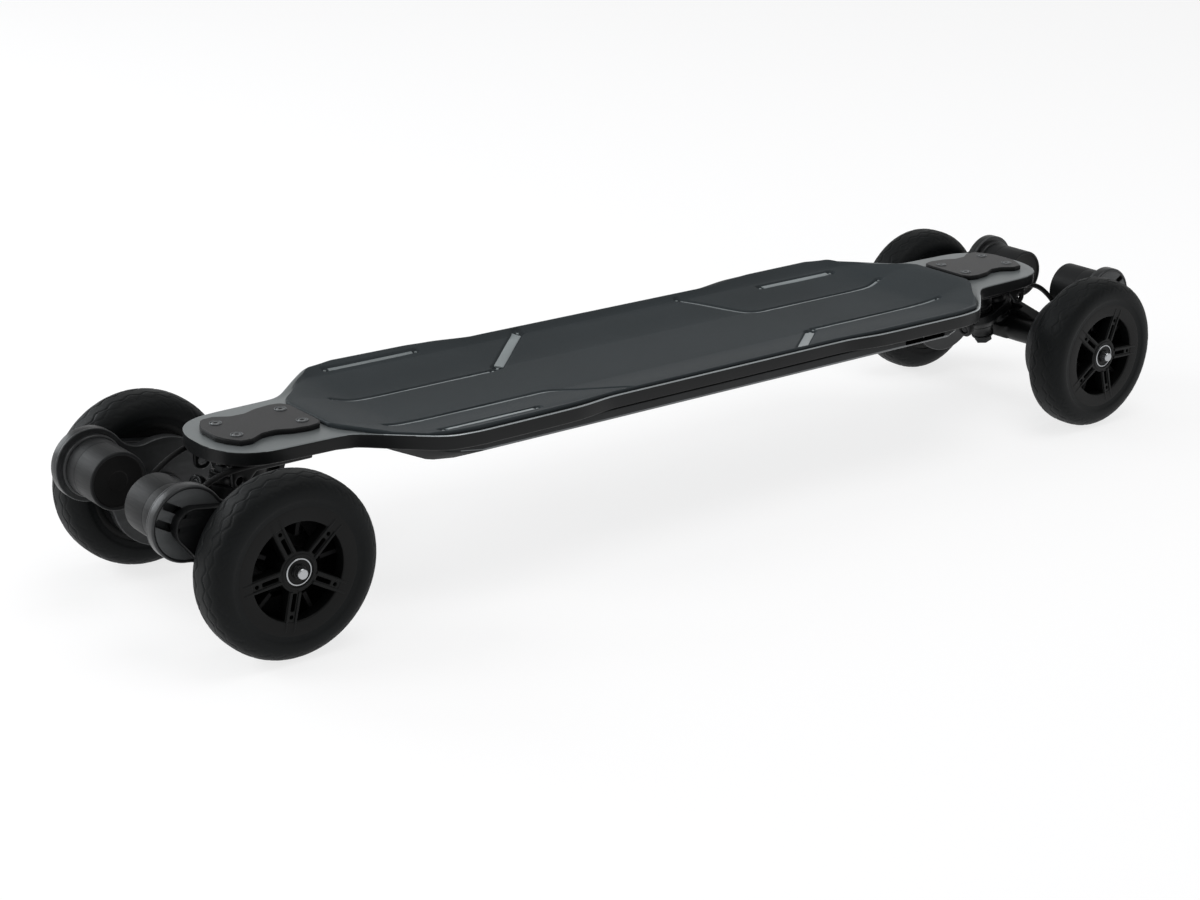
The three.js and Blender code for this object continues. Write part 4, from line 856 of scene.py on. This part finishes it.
def knuckle():
    lower, top = OUTER_HINGE - 3 - 3.6, OUTER_HINGE + 3
    big, small, bore = 20, 16, 5.4
    lift = math.acos((big - small) / (OUTER_AHEAD - INNER_AHEAD))
    body = arc(INNER_AHEAD, 0, big, lift, TAU - lift, 40) + arc(OUTER_AHEAD, 0, small, -lift, lift, 30)
    holes = [circle(INNER_AHEAD, 0, 14.9), circle(OUTER_AHEAD, 0, bore)]
    form = plate([body, *holes], lower, top, 0.8, TRUCK_PLAN)
    skirt = [(6.3, 16.1), (15.5, 16.1), (19.4, 22.1), (19.4, 27.0), (14.9, 27.0), (14.9, 25.1), (6.3, 25.1)]
    form.ring(skirt, 48, INNER_LINE, 0.7)
    form.ring(oblong(11.9, small, lower - 1.2, lower + 2), 48, OUTER_LINE)
    form.turn([(0, -56.2), (4.2, -56.2), (5, -55.2), (5, -45), (0, -45)], 32, round_hinge(INNER_HINGE), 0.5)
    form.turn([(0, 12), (5, 12), (5, 20.6), (4.2, 21.4), (0, 21.4)], 32, round_hinge(OUTER_HINGE), 0.5)
    casting(form, "knuckle", "END_knuckle", 0.0007)


knuckle()


def hanger():
    bar = [(5.4, -84), (12, -84), (12, -60), (13, -30), (13, 30), (12, 60), (12, 84), (5.4, 84)]
    form = Form().ring(bar, 56, WHEEL_LINE, 1.2)
    web = [(60, -8), (60, 9.5), (14, 22.5), (11, 25.5), (11, 31.5), (5.5, 37)]
    web = [(-60, -8), *web, *((-y, z) for y, z in web[:0:-1])]
    back, middle, front = 7, 14.8, 21.8
    form.slab([soft_loop(web, 3), circle(0, OUTER_HINGE, 5.4)], middle, front, 0.8, TRUCK_CROSS)
    low = [(-60, -8), (60, -8), (60, 9.5), (30, 17.8), (-30, 17.8), (-60, 9.5)]
    form.slab([soft_loop(low, 3)], back, middle + 1, 0.8, TRUCK_CROSS)
    for side in (-1, 1):
        wing = [(22 * side, 4), (60 * side, 4), (60 * side, 9.5), (22 * side, 20.2)]
        form.slab([wing], back, middle + 1, 0.6, TRUCK_CROSS)
    form.slab([soft_loop(oblong(-13.3, front, -22, 22), 6)], -8, 8.3, 1.0, TRUCK_PLAN)
    form.ring(oblong(4.4, 11.5, 2, 17.8), 48, OUTER_LINE, 0.8)
    casting(form, "hanger", "END_hanger", 0.0011)


hanger()


def rise_at(height, ahead):
    return (height - WHEEL_R - ahead * math.sin(LEAN)) / math.cos(LEAN)


def baseplate():
    top, bottom = NECK_BOTTOM - 0.3, NECK_BOTTOM - 9.3
    form = plate([soft_loop(oblong(405, 488, -32, 32), 8, 5)], bottom, top, 1.0)
    low, high = 38.7, rise_at(bottom, INNER_AHEAD) + 4
    boss = [(5.4, low), (13.6, low), (15, low + 2), (15, high), (5.4, high)]
    form.ring(boss, 48, INNER_LINE, 0.8)
    leg_front = INNER_AHEAD - 20.6
    leg_top = rise_at(bottom, leg_front) + 1
    leg = arc(0, INNER_HINGE, 9.5, math.pi, TAU, 16) + [(12, leg_top), (-12, leg_top)]
    form.slab([leg, circle(0, INNER_HINGE, 5.4)], leg_front - 7, leg_front, 0.8, TRUCK_CROSS)
    foot = truck_point(leg_front - 3.5, 27)
    rib = [(413, bottom + 1), (420, bottom - 7), (foot.x, bottom - 7), (foot.x + 12, bottom + 1)]
    form.slab([rib], -3.5, 3.5, 0.6, FLANK)
    eye = (484.0, 121.0)
    blade = [(413, top - 1), (413, 127), (468, 127)] + arc(*eye, 8, 1.1 * math.pi, TAU, 14) + [(492, top - 1)]
    for inner, outer in ((-34.5, -29.5), (29.5, 34.5)):
        form.slab([blade, circle(*eye, 4)], inner, outer, 0.7, FLANK)
    casting(form, "baseplate", "board", 0.0010)


baseplate()


def hexagon(radius, z0, z1, where):
    return plate([circle(0, 0, radius, 6)], z0, z1, 0.5, where)


def kingpins():
    top = rise_at(NECK_BOTTOM - 0.3, INNER_AHEAD + 8) - 0.3
    pin = [(0, -7.5), (3.9, -7.5), (5, -6.2), (5, top - 5), (8, top - 5), (8, top), (0, top)]
    form = Form().turn(pin, 32, INNER_LINE, 0.6).turn(oblong(5, 12, 1.5, 3.5), 40, INNER_LINE, 0.4)
    form.join(hexagon(9.4, -5.5, 1.5, along(INNER_AHEAD)))
    form.turn([(4.9, -5.6), (7.6, -5.6), (7.9, -5.0), (4.9, -5.0)], 32, INNER_LINE, 0.2)
    both_trucks(form, "inner_pin", [cast_black], "inner_kingpin", "board", "steel")
    pin = [(0, 8.8), (4, 8.8), (4, 47), (3, 49.5), (0, 49.5)]
    form = Form().turn(pin, 32, OUTER_LINE, 0.5).turn(oblong(4, 10, 40, 42), 40, OUTER_LINE, 0.4)
    form.join(hexagon(7.4, 42, 47.3, along(OUTER_AHEAD)))
    both_trucks(form, "outer_pin", [cast_black], "outer_kingpin", "END_hanger", "steel")


kingpins()


def bushings():
    # Name, radii at both ends, bore, both heights, line and body
    rows = [("inner_lower_bushing", 12, 14, 5.3, 3.8, 15.8, INNER_LINE, "board"),
            ("inner_upper_bushing", 14, 14, 5.3, 25.4, 38.4, INNER_LINE, "board"),
            ("outer_lower_bushing", 11, 11, 4.3, 18.1, 26.1, OUTER_LINE, "END_knuckle"),
            ("outer_upper_bushing", 11, 10, 4.3, 32.7, 39.7, OUTER_LINE, "END_knuckle")]
    n = 12
    for name, low, high, bore, a, b, line, body in rows:
        side = [(low - 0.9, a)]
        for i in range(1, n):
            waist = 1.3 * math.sin(math.pi * i / n)
            side.append((low + (high - low) * i / n - waist + 0.25, a + (b - a) * i / n))
        form = lathe([(bore, a), *side, (high - 0.9, b), (bore, b)], 48, line, closed=True)
        both_trucks(form, f"{name}_soft", [urethane], name, body, "urethane", 50)


bushings()


def axle():
    half = [(5, 84.3), (7, 84.3), (7, 89.7), (5, 89.7), (5, 140.4), (4.9, 151.6), (4.1, 153), (0, 153)]
    rod = [(0, -153)] + [(r, -h) for r, h in half[-2::-1]] + half
    form = Form().turn(rod, 32, WHEEL_LINE, 0.35, steps=2)
    for side in (-1, 1):
        form.join(hexagon(7.0, *sorted((side * 140.3, side * 146.8)), WHEEL_PLANE), 1)
        washer = [(5, side * 146.6), (6.4, side * 146.6), (5.8, side * 148.2), (5, side * 148.2)]
        form.turn(washer[::side], 32, WHEEL_LINE, 0.3, 1)
    both_trucks(form, "axle_rod", [steel_bright, cast_black], "axle", "END_hanger", "steel", 35)


axle()


# Wheels
def zigzag(t):
    return 2 * np.abs((t % 1.0) * 2 - 1) - 1


def tyre():
    half = (HALF_TRACK - TYRE_INNER) / 2
    # Radius, and distance in from the tyre's flank
    flank = [(55.2, 1.9), (57, 1.6), (60.2, 0.9), (60.9, 0.5), (62.2, 0.15), (64, 0), (67, 0.15), (69.6, 0.7),
             (72.2, 1.8), (74.4, 3.3), (76.2, 5.2), (77.6, 7.4), (78.7, 9.9), (79.4, 12.6), (79.85, 15.6),
             (80, 19), (80, half)]
    side = [(r, half - inward) for r, inward in flank]
    fine = [side[0]]
    for a, b in zip(side, side[1:]):
        n = max(1, int(round(math.dist(a, b) / (0.85 if a[0] > 66 else 2.0))))
        fine += [(a[0] + (b[0] - a[0]) * i / n, a[1] + (b[1] - a[1]) * i / n) for i in range(1, n + 1)]
    prof = np.array(fine + [(r, -y) for r, y in fine[-2::-1]])
    seg, count = 400, 30
    run = runs(prof)
    crown = run[-1] / 2
    from_bead = np.minimum(run, run[-1] - run)
    th, uu = np.meshgrid(TAU * np.arange(seg) / seg, from_bead, indexing="ij")
    shoulder = from_bead[np.argmin(np.abs(prof[: len(prof) // 2, 0] - 74.4))]
    phase = th / TAU * count + np.where(np.broadcast_to(run > crown, th.shape), 0.5, 0.0)
    zig = zigzag(phase)

    def groove(centre, width, deep):
        return deep * np.clip((width / 2 + 0.45 - np.abs(uu - centre)) / 0.9, 0, 1)

    def bars(turns, sharp, start, end, soft, deep):
        across = np.clip(1 - np.abs(turns % 1.0 - 0.5) * 2 * sharp, 0, 1)
        return deep * across * np.clip((uu - start) / soft, 0, 1) * np.clip((end - uu) / soft, 0, 1)

    depth = np.maximum.reduce([
        groove(shoulder - 1.5 + 2.6 * zig, 1.1, 0.4), groove(shoulder + 7.0 + 2.2 * zig, 1.3, 0.55),
        groove(crown - 6.5 + 2.4 * zigzag(phase + 0.5), 1.5, 0.6),
        bars(phase * 2 + (uu - shoulder) / 9.0, 5.5, shoulder - 6.5, shoulder + 4.0, 1.5, 0.25),
        bars(phase * 2 + 0.25, 6.5, shoulder + 9.5, crown - 9.5, 1.2, 0.4)])
    tangent = tangents(prof)
    normal = np.stack([-tangent[:, 1], tangent[:, 0]], 1)
    outward = normal[:, 0] + normal[:, 1] * np.sign(prof[:, 1]) * 0.5
    normal = np.where(outward[:, None] < 0, -normal, normal)
    radius = prof[:, 0] - depth * normal[:, 0]
    wide = prof[:, 1] - depth * normal[:, 1]
    middle = (TYRE_INNER + HALF_TRACK) / 2
    verts = as_points(AXLE_X + radius * np.cos(th), middle + wide, WHEEL_R + radius * np.sin(th))
    faces = [f[::-1] for f in grid_faces(seg, len(prof), wrap_rows=True, wrap_cols=True)]
    form = Form().add(verts, faces)
    all_corners(form, "tyre_tread", [rubber], "tyre", "wheel_END_SIDE", "tyre_rubber", 32)


tyre()


def turner(angle):
    """Turns places given along and across a spoke into the plane of the wheel."""
    c, s = math.cos(angle), math.sin(angle)
    return lambda places: [(x * c - y * s, x * s + y * c) for x, y in places]


def tip_radius(teeth):
    return teeth * TOOTH_PITCH / TAU - TIP_DROP


def toothed(teeth):
    """Outline of a toothed pulley."""
    tip = tip_radius(teeth)
    tooth = ((0.0, tip - 2), (0.14, tip - 1.9), (0.3, tip - 0.3), (0.38, tip), (0.62, tip), (0.7, tip - 0.3),
             (0.86, tip - 1.9))
    turns = [((k + share) * TAU / teeth, r) for k in range(teeth) for share, r in tooth]
    return [(r * math.cos(a), r * math.sin(a)) for a, r in turns]


def rim():
    outer, spokes, spoke_half = HALF_TRACK - 1.5, 5, 5.9
    form = Form()
    holes = []
    slots = []
    for k in range(spokes):
        a0 = k * TAU / spokes - math.pi / 2
        a1 = a0 + TAU / spokes
        wide, narrow = math.asin(spoke_half / 17.6), math.asin(spoke_half / 43)
        holes.append(arc(0, 0, 43, a0 + narrow, a1 - narrow, 16) + arc(0, 0, 17.6, a1 - wide, a0 + wide, 4))
        place_on = turner(a0)
        slots.append(soft_loop(place_on(oblong(18.8, 34.0, -1.8, 1.8)), 0.9, 3))
        slots.append(place_on(circle(39.0, 0, 1.7, 16)))
        for y in (-4.1, 4.1):
            rib = place_on([(17.2, y - 1.4), (51.5, y - 0.9), (52.3, y), (51.5, y + 0.9), (17.2, y + 1.4)])
            form.slab([rib], outer - 1.2, outer - 0.1, 0.45, WHEEL_PLANE)
    form.slab([circle(0, 0, 44.5, 96), *holes, *slots], outer - 12, outer - 1.0, 0.7, WHEEL_PLANE)
    ring = raised(outer, [(42.6, -12), (42.6, -1.5), (43.6, -0.5), (53.6, -0.3), (55.2, -0.3), (55.9, -0.5),
                          (55.9, -39.5), (49, -39.5), (49, -12)])
    form.ring(ring, 128, WHEEL_LINE, 0.5, steps=2)
    # The liner and the webs behind the wheel's openings are in the near-black of painted shade, which closes
    # the openings.
    liner = raised(outer, [(34, -39), (49.5, -39), (49.5, -12.2), (48.2, -12.2), (48.2, -37.4), (34, -37.4)])
    form.ring(liner, 96, WHEEL_LINE, mat=1)
    hub = [(11.2, 90), (16, 90), (16, 145.4), (15.2, 146.2), (13.4, 146.2), (13.2, 145.2), (11.2, 145.2)]
    form.ring(hub, 64, WHEEL_LINE, 0.4, steps=2)
    form.ring(oblong(15.5, 27.4, 97.5, 101.4), 64, WHEEL_LINE)
    for k in range(spokes):
        web = turner(k * TAU / spokes + math.pi / 2)(oblong(27, 49.5, 2, -2))
        form.join(plate([web], 107.5, 134, 0.5, WHEEL_PLANE), mat=1)
    form.slab([toothed(WHEEL_TEETH), circle(0, 0, 26.35, 64)], 82.8, 101.0, 0, WHEEL_PLANE)
    form.ring(oblong(16, 26.4, 92, 94), 64, WHEEL_LINE)
    all_corners(form, "wheel_rim", [nylon, painted_shade_hollow_black], "rim", "wheel_END_SIDE", "rim_nylon", 35, spun=True)


rim()


def bearings():
    cap = [(10.5, 144.6), (10.7, 146.4), (11.6, 146.4), (12.0, 145.9), (12.0, 144.6)]
    race = [(10.2, 133), (11.1, 133), (11.1, 140), (10.7, 140.2), (10.2, 140.2)]
    # Profile, segments, rounding and material
    rings = [(cap, 64, 0.25, 0), (race, 64, 0.2, 1), (oblong(6.6, 10.3, 139.2, 139.9), 64, 0, 1),
             (oblong(5.3, 6.7, 133, 140), 64, 0.2, 0), (oblong(5.3, 7, 97, 133), 48, 0, 0),
             (oblong(5.3, 11, 90, 97), 48, 0, 0)]
    # The race and the seal ring are in the near-black of painted shade in hollows.
    form = Form()
    for ring, seg, soft, mat in rings:
        form.ring(ring, seg, WHEEL_LINE, soft, mat, steps=2)
    all_corners(form, "hub_bearing", [steel_bright, painted_shade_hollow_black], "wheel_bearing", "wheel_END_SIDE", "steel")


bearings()


# Belt drive
def waisted(inset, n=40):
    """Outline of the housing: two discs joined by hollow sides, drawn in by the inset."""
    ra, rb, fillet = 33 - inset, 50 - inset, 24 + inset
    apart = math.hypot(AXLE_X - MOTOR_X, WHEEL_R - MOTOR_Z)
    aim = math.atan2(WHEEL_R - MOTOR_Z, AXLE_X - MOTOR_X)
    reach_a, reach_b = ra + fillet, rb + fillet
    open_a = math.acos((apart ** 2 + reach_a ** 2 - reach_b ** 2) / (2 * apart * reach_a))
    open_b = math.acos((apart ** 2 + reach_b ** 2 - reach_a ** 2) / (2 * apart * reach_b))

    def hollow(turn, a0, a1):
        x, y = MOTOR_X + reach_a * math.cos(aim + turn), MOTOR_Z + reach_a * math.sin(aim + turn)
        return arc(x, y, fillet, a0, a1, 10)[1:-1]
    out = arc(MOTOR_X, MOTOR_Z, ra, aim + open_a, aim + TAU - open_a, n)
    out += hollow(-open_a, aim + math.pi - open_a, aim + open_b)
    out += arc(AXLE_X, WHEEL_R, rb, aim + math.pi + open_b, aim + 3 * math.pi - open_b, n + 10)
    return out + hollow(open_a, aim - open_b, aim + open_a - math.pi)


def band(ra, rb, n=60):
    """Outline of a belt's run round the axle and the motor."""
    apart = math.hypot(MOTOR_X - AXLE_X, MOTOR_Z - WHEEL_R)
    aim = math.atan2(MOTOR_Z - WHEEL_R, MOTOR_X - AXLE_X)
    lift = math.acos((ra - rb) / apart)
    near_axle = arc(AXLE_X, WHEEL_R, ra, aim + lift, aim + TAU - lift, n)
    return near_axle + arc(MOTOR_X, MOTOR_Z, rb, aim - lift, aim + lift, n // 2)


def slotted(form):
    """One closed shell with two slots cut through it beyond the motor, in line with axle and motor."""
    out = Vector((MOTOR_X - AXLE_X, 0, MOTOR_Z - WHEEL_R)).normalized()
    where = frame_of(Vector((MOTOR_X, 0, MOTOR_Z)), out, Vector((-out.z, 0, out.x)), Y)
    shell = form.piece("shell_tool", [], 0)
    tools = []
    for middle in (-7.8, 7.4):
        slot = soft_loop(oblong(12.0, 29.0, middle - 3.4, middle + 3.4), 1.6)
        tools.append(plate([slot], 88.0, 104.0, 0, where).piece("slot_tool", [], 0))
    cut = form_of(cut_by(shell, tools))
    bpy.data.objects.remove(shell)
    return cut


def drive_housing():
    tier_band = band(40.0, 14.6)
    holes = [circle(MOTOR_X, MOTOR_Z, 13.8), circle(AXLE_X, WHEEL_R, 12.8)]
    # The flange and the wall take the finish whose lighter edges are a painted highlight on their rounded
    # rims.
    form = plate([waisted(0), *holes], HOUSING_IN, 82.6, 0.9, FLANK)
    form.slab([waisted(0), waisted(3.5)], 81.0, HOUSING_TIER, 1.8, FLANK, res=4)
    form.join(slotted(plate([waisted(3), band(39.0, 14.6)], 88.8, HOUSING_TIER - 0.5, 0.4, FLANK)), 1)
    # The outer tier and the cap are in the darker black, painted shade from the tyre beside them.
    form.join(slotted(plate([band(44.5, 16.4), tier_band], 89.0, HOUSING_OUT, 1.2, FLANK, res=3)), 2)
    cap = [band(43.0, 15.4), circle(AXLE_X, WHEEL_R, 39.5, 72)]
    form.join(slotted(plate(cap, HOUSING_OUT - 2.0, HOUSING_OUT - 0.3, 0.3, FLANK)), 2)
    collar = [(12.8, PAD_FACE), (16.2, PAD_FACE), (17, PAD_FACE + 0.8), (17, 81), (12.8, 81)]
    form.ring(collar, 56, WHEEL_LINE, 0.4)
    pad = [(13.8, PAD_FACE), (27, PAD_FACE), (28, PAD_FACE + 1), (28, 81), (13.8, 81)]
    form.ring(pad, 64, MOTOR_LINE, 0.5)
    gland = [(3.0, 72), (3.9, 72), (4.4, 72.8), (4.4, 81), (3.0, 81)]
    form.ring(gland, 24, frame_of((542.5, 0, 96.5), X, Y, Z), 0.3)
    mats = [housing_wall_painted_highlight, housing_black, painted_shade_black]
    all_corners(form, "belt_housing", mats, "drive_housing", "END_hanger", "black_aluminium")


drive_housing()


def drive_belt():
    slack, thick = 0.35, 2.6
    wheel, pulley = tip_radius(WHEEL_TEETH) + slack, tip_radius(MOTOR_TEETH) + slack
    loops = [band(wheel + thick, pulley + thick, 72), band(wheel, pulley, 72)]
    form = plate(loops, 83.3, 98.3, 0.35, FLANK)
    all_corners(form, "belt", [belt_black], "drive_belt", "END_hanger", "belt_rubber", 35)


drive_belt()


def motor_pulley():
    flange = tip_radius(MOTOR_TEETH) + 2.2
    form = plate([toothed(MOTOR_TEETH)], 82.8, 98.6, 0.2, upright((MOTOR_X, 0, MOTOR_Z)))
    form.turn(oblong(4, flange, 81.8, 82.8), 48, MOTOR_LINE, 0.3)
    form.turn([(0, 63.2), (3.6, 63.2), (4, 63.8), (4, 83), (0, 83)], 32, MOTOR_LINE, 0.2)
    all_corners(form, "pulley", [steel_dark], "motor_pulley", "pinion_END_SIDE", "steel", 35)


motor_pulley()


def motor():
    low, high = 29.6, 74.7
    skin = raised(low, [(23.4, 0.3), (24.6, 0), (25.4, 0.2), (26, 1.2), (26, 30), (25.85, 30.2)])
    skin += raised(low, [(25.85, 30.8), (26, 31)]) + raised(high, [(26, -0.5), (25.5, 0), (0, 0)])
    end = raised(low, [(0, 1.9), (8.6, 1.9), (9.0, 1.6), (22.6, 1.5), (23.2, 0.9), (23.4, 0.3)])
    form = Form().turn(skin, 96, MOTOR_LINE, 0.3, steps=2).turn(end, 96, MOTOR_LINE, 0.3, 1, steps=2)
    all_corners(form, "motor_can", [can_grey, can_end], "motor", "END_hanger", "can_aluminium")


motor()


# Motor cables, each in two lengths. The route is given from the axle, for the front left
CABLE = [(-134.1, 40, 132.2), (-120, 40, 132.9), (-98, 40, 135), (-60, 39.5, 135.6), (-28, 39, 135.6),
         (-8.5, 38, 134.5), (8.5, 36, 131), (22.5, 35, 124.5), (34, 37, 114.5), (41.5, 42, 103.5),
         (45.5, 51, 98.5), (46, 61, 96.5), (46, 71.7, 96.5)]
CABLE_RADIUS = 2.7


def spline(points, per=8):
    """A smooth line through the points, with the ends' directions kept."""
    pts = [np.array(p, float) for p in points]
    pts = [2 * pts[0] - pts[1]] + pts + [2 * pts[-1] - pts[-2]]
    out = []
    for group in zip(pts, pts[1:], pts[2:], pts[3:]):
        knots = [0.0]
        for p, q in zip(group, group[1:]):
            knots.append(knots[-1] + np.linalg.norm(q - p) ** 0.5)
        for i in range(per):
            t = knots[1] + (knots[2] - knots[1]) * i / per
            level = list(group)
            for gap, starts in ((1, (0, 1, 2)), (2, (0, 1)), (1, (1,))):
                ends = [(knots[k], knots[k + gap]) for k in starts]
                pairs = zip(ends, level, level[1:])
                level = [(b - t) / (b - a) * p + (t - a) / (b - a) * q for (a, b), p, q in pairs]
            out.append(level[0])
    return np.array(out + [pts[-2]])


def tube(points, radius, sides=14):
    direction = tangents(points)
    normal = np.cross(direction[0], [0, 0, 1.0])
    rows = []
    for p, t in zip(points, direction):
        normal = normal - t * np.dot(normal, t)
        normal /= np.linalg.norm(normal)
        other = np.cross(t, normal)
        turns = [TAU * k / sides for k in range(sides)]
        rows.append([tuple(p + radius * (math.cos(a) * normal + math.sin(a) * other)) for a in turns])
    verts, faces = lofted(rows)
    return Form().add(verts, [f[::-1] for f in faces])


def cables():
    line = spline([(AXLE_X + x, y, z) for x, y, z in CABLE])
    hinge = int(np.argmin(np.abs(line[:, 0] - (AXLE_X + 15)) + (line[:, 2] < 110) * 1000))
    first, second = line[: hinge + 1], line[hinge:]
    for end, s in ENDS:
        for side, t in SIDES:
            mark, turn = f"{end}_{side}", np.array([s, t, 1]) * M
            # Name, line, where the bend starts and the two bodies
            lengths = [("inner", first, first[len(first) // 3], "board", f"{end}_knuckle"),
                       ("outer", second, second[0], f"{end}_knuckle", f"{end}_hanger")]
            for part, run, start, held, moved in lengths:
                form = tube(run, CABLE_RADIUS).mirrored(s, t)
                lead = form.piece(f"lead_{part}_{mark}", [sleeve], 60)
                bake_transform(lead)
                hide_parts(f"motor_cable_{mark}")


cables()

# The inner pieces keep their solids
for name, mat in (("battery_pack", wrap_blue), ("controller", cast_black)):
    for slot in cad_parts[name].material_slots:
        slot.material = mat


# Floor and light
FLOOR_SIZE, FLOOR_SHADE, FLOOR_GLOW = 14.0, (0.29, 0.29, 0.294, 1), 0.76
WHITE = (1, 1, 1, 1)


def floor():
    """A pale floor that keeps the shadow and shows white to the camera and to glossy surfaces."""
    n = Nodes("floor_white")
    n.shade({"Base Color": (0.8, 0.8, 0.8, 1), "Roughness": 0.9, "Specular IOR Level": 0.1})
    seen = n.add("ShaderNodeLightPath").outputs
    direct = n.math("MAXIMUM", seen["Is Camera Ray"], seen["Is Glossy Ray"])
    direct = n.math("MAXIMUM", direct, seen["Is Transmission Ray"])
    pale = n.add("ShaderNodeBsdfDiffuse", {"Color": FLOOR_SHADE})
    glow = n.add("ShaderNodeEmission", {"Color": WHITE, "Strength": FLOOR_GLOW})
    both = n.add("ShaderNodeAddShader", {0: pale.outputs["BSDF"], 1: glow.outputs["Emission"]})
    mix = n.add("ShaderNodeMixShader", {0: direct, 1: n.shader.outputs["BSDF"], 2: both.outputs["Shader"]})
    put(n.tree, n.tree.nodes["Material Output"].inputs["Surface"], mix.outputs["Shader"])
    mesh = bpy.data.meshes.new("floor")
    square = oblong(-FLOOR_SIZE, FLOOR_SIZE, -FLOOR_SIZE, FLOOR_SIZE)
    mesh.from_pydata([(x, y, 0) for x, y in square], [], [(0, 1, 2, 3)])
    mesh.materials.append(n.mat)
    ground = bpy.data.objects.new("floor", mesh)
    scene.collection.objects.link(ground)


def sky():
    """Soft light that fades with height, on a white background."""
    world = bpy.data.worlds.new("studio")
    scene.world = world
    world.use_nodes = True
    tree = world.node_tree
    tree.nodes.clear()
    coords = add_node(tree, "ShaderNodeTexCoord").outputs["Generated"]
    height = add_node(tree, "ShaderNodeSeparateXYZ", {"Vector": coords}).outputs["Z"]
    fade = {"Value": height, "From Min": 0.0, "From Max": 0.75, "To Min": 0.85, "To Max": 0.36}
    level = add_node(tree, "ShaderNodeMapRange", fade).outputs["Result"]
    soft = add_node(tree, "ShaderNodeBackground", {"Color": WHITE, "Strength": level})
    clear = add_node(tree, "ShaderNodeBackground", {"Color": WHITE, "Strength": 1.0})
    path = add_node(tree, "ShaderNodeLightPath").outputs
    rays = {0: path["Is Camera Ray"], 1: path["Is Transmission Ray"]}
    either = add_node(tree, "ShaderNodeMath", rays, operation="MAXIMUM")
    shaders = {0: either.outputs["Value"], 1: soft.outputs["Background"], 2: clear.outputs["Background"]}
    mix = add_node(tree, "ShaderNodeMixShader", shaders)
    add_node(tree, "ShaderNodeOutputWorld", {"Surface": mix.outputs["Shader"]})


def lamp(name, spot, aim, size, power, colour=(1, 1, 1)):
    data = bpy.data.lights.new(name, "AREA")
    data.shape = "DISK"
    data.size = size
    data.energy = power
    data.color = colour
    obj = bpy.data.objects.new(name, data)
    scene.collection.objects.link(obj)
    obj.location = spot
    obj.rotation_euler = (Vector(aim) - Vector(spot)).to_track_quat("-Z", "Y").to_euler()


floor()
sky()
lamp("back", (-1.7, 3.3, 1.5), (0, 0, 0.1), 2.2, 45, (0.93, 0.97, 1.0))
lamp("left", (-2.6, 1.2, 1.9), (-0.2, 0, 0.1), 1.4, 26)
lamp("top", (0.3, -0.4, 3.2), (0, 0, 0.1), 2.2, 26)
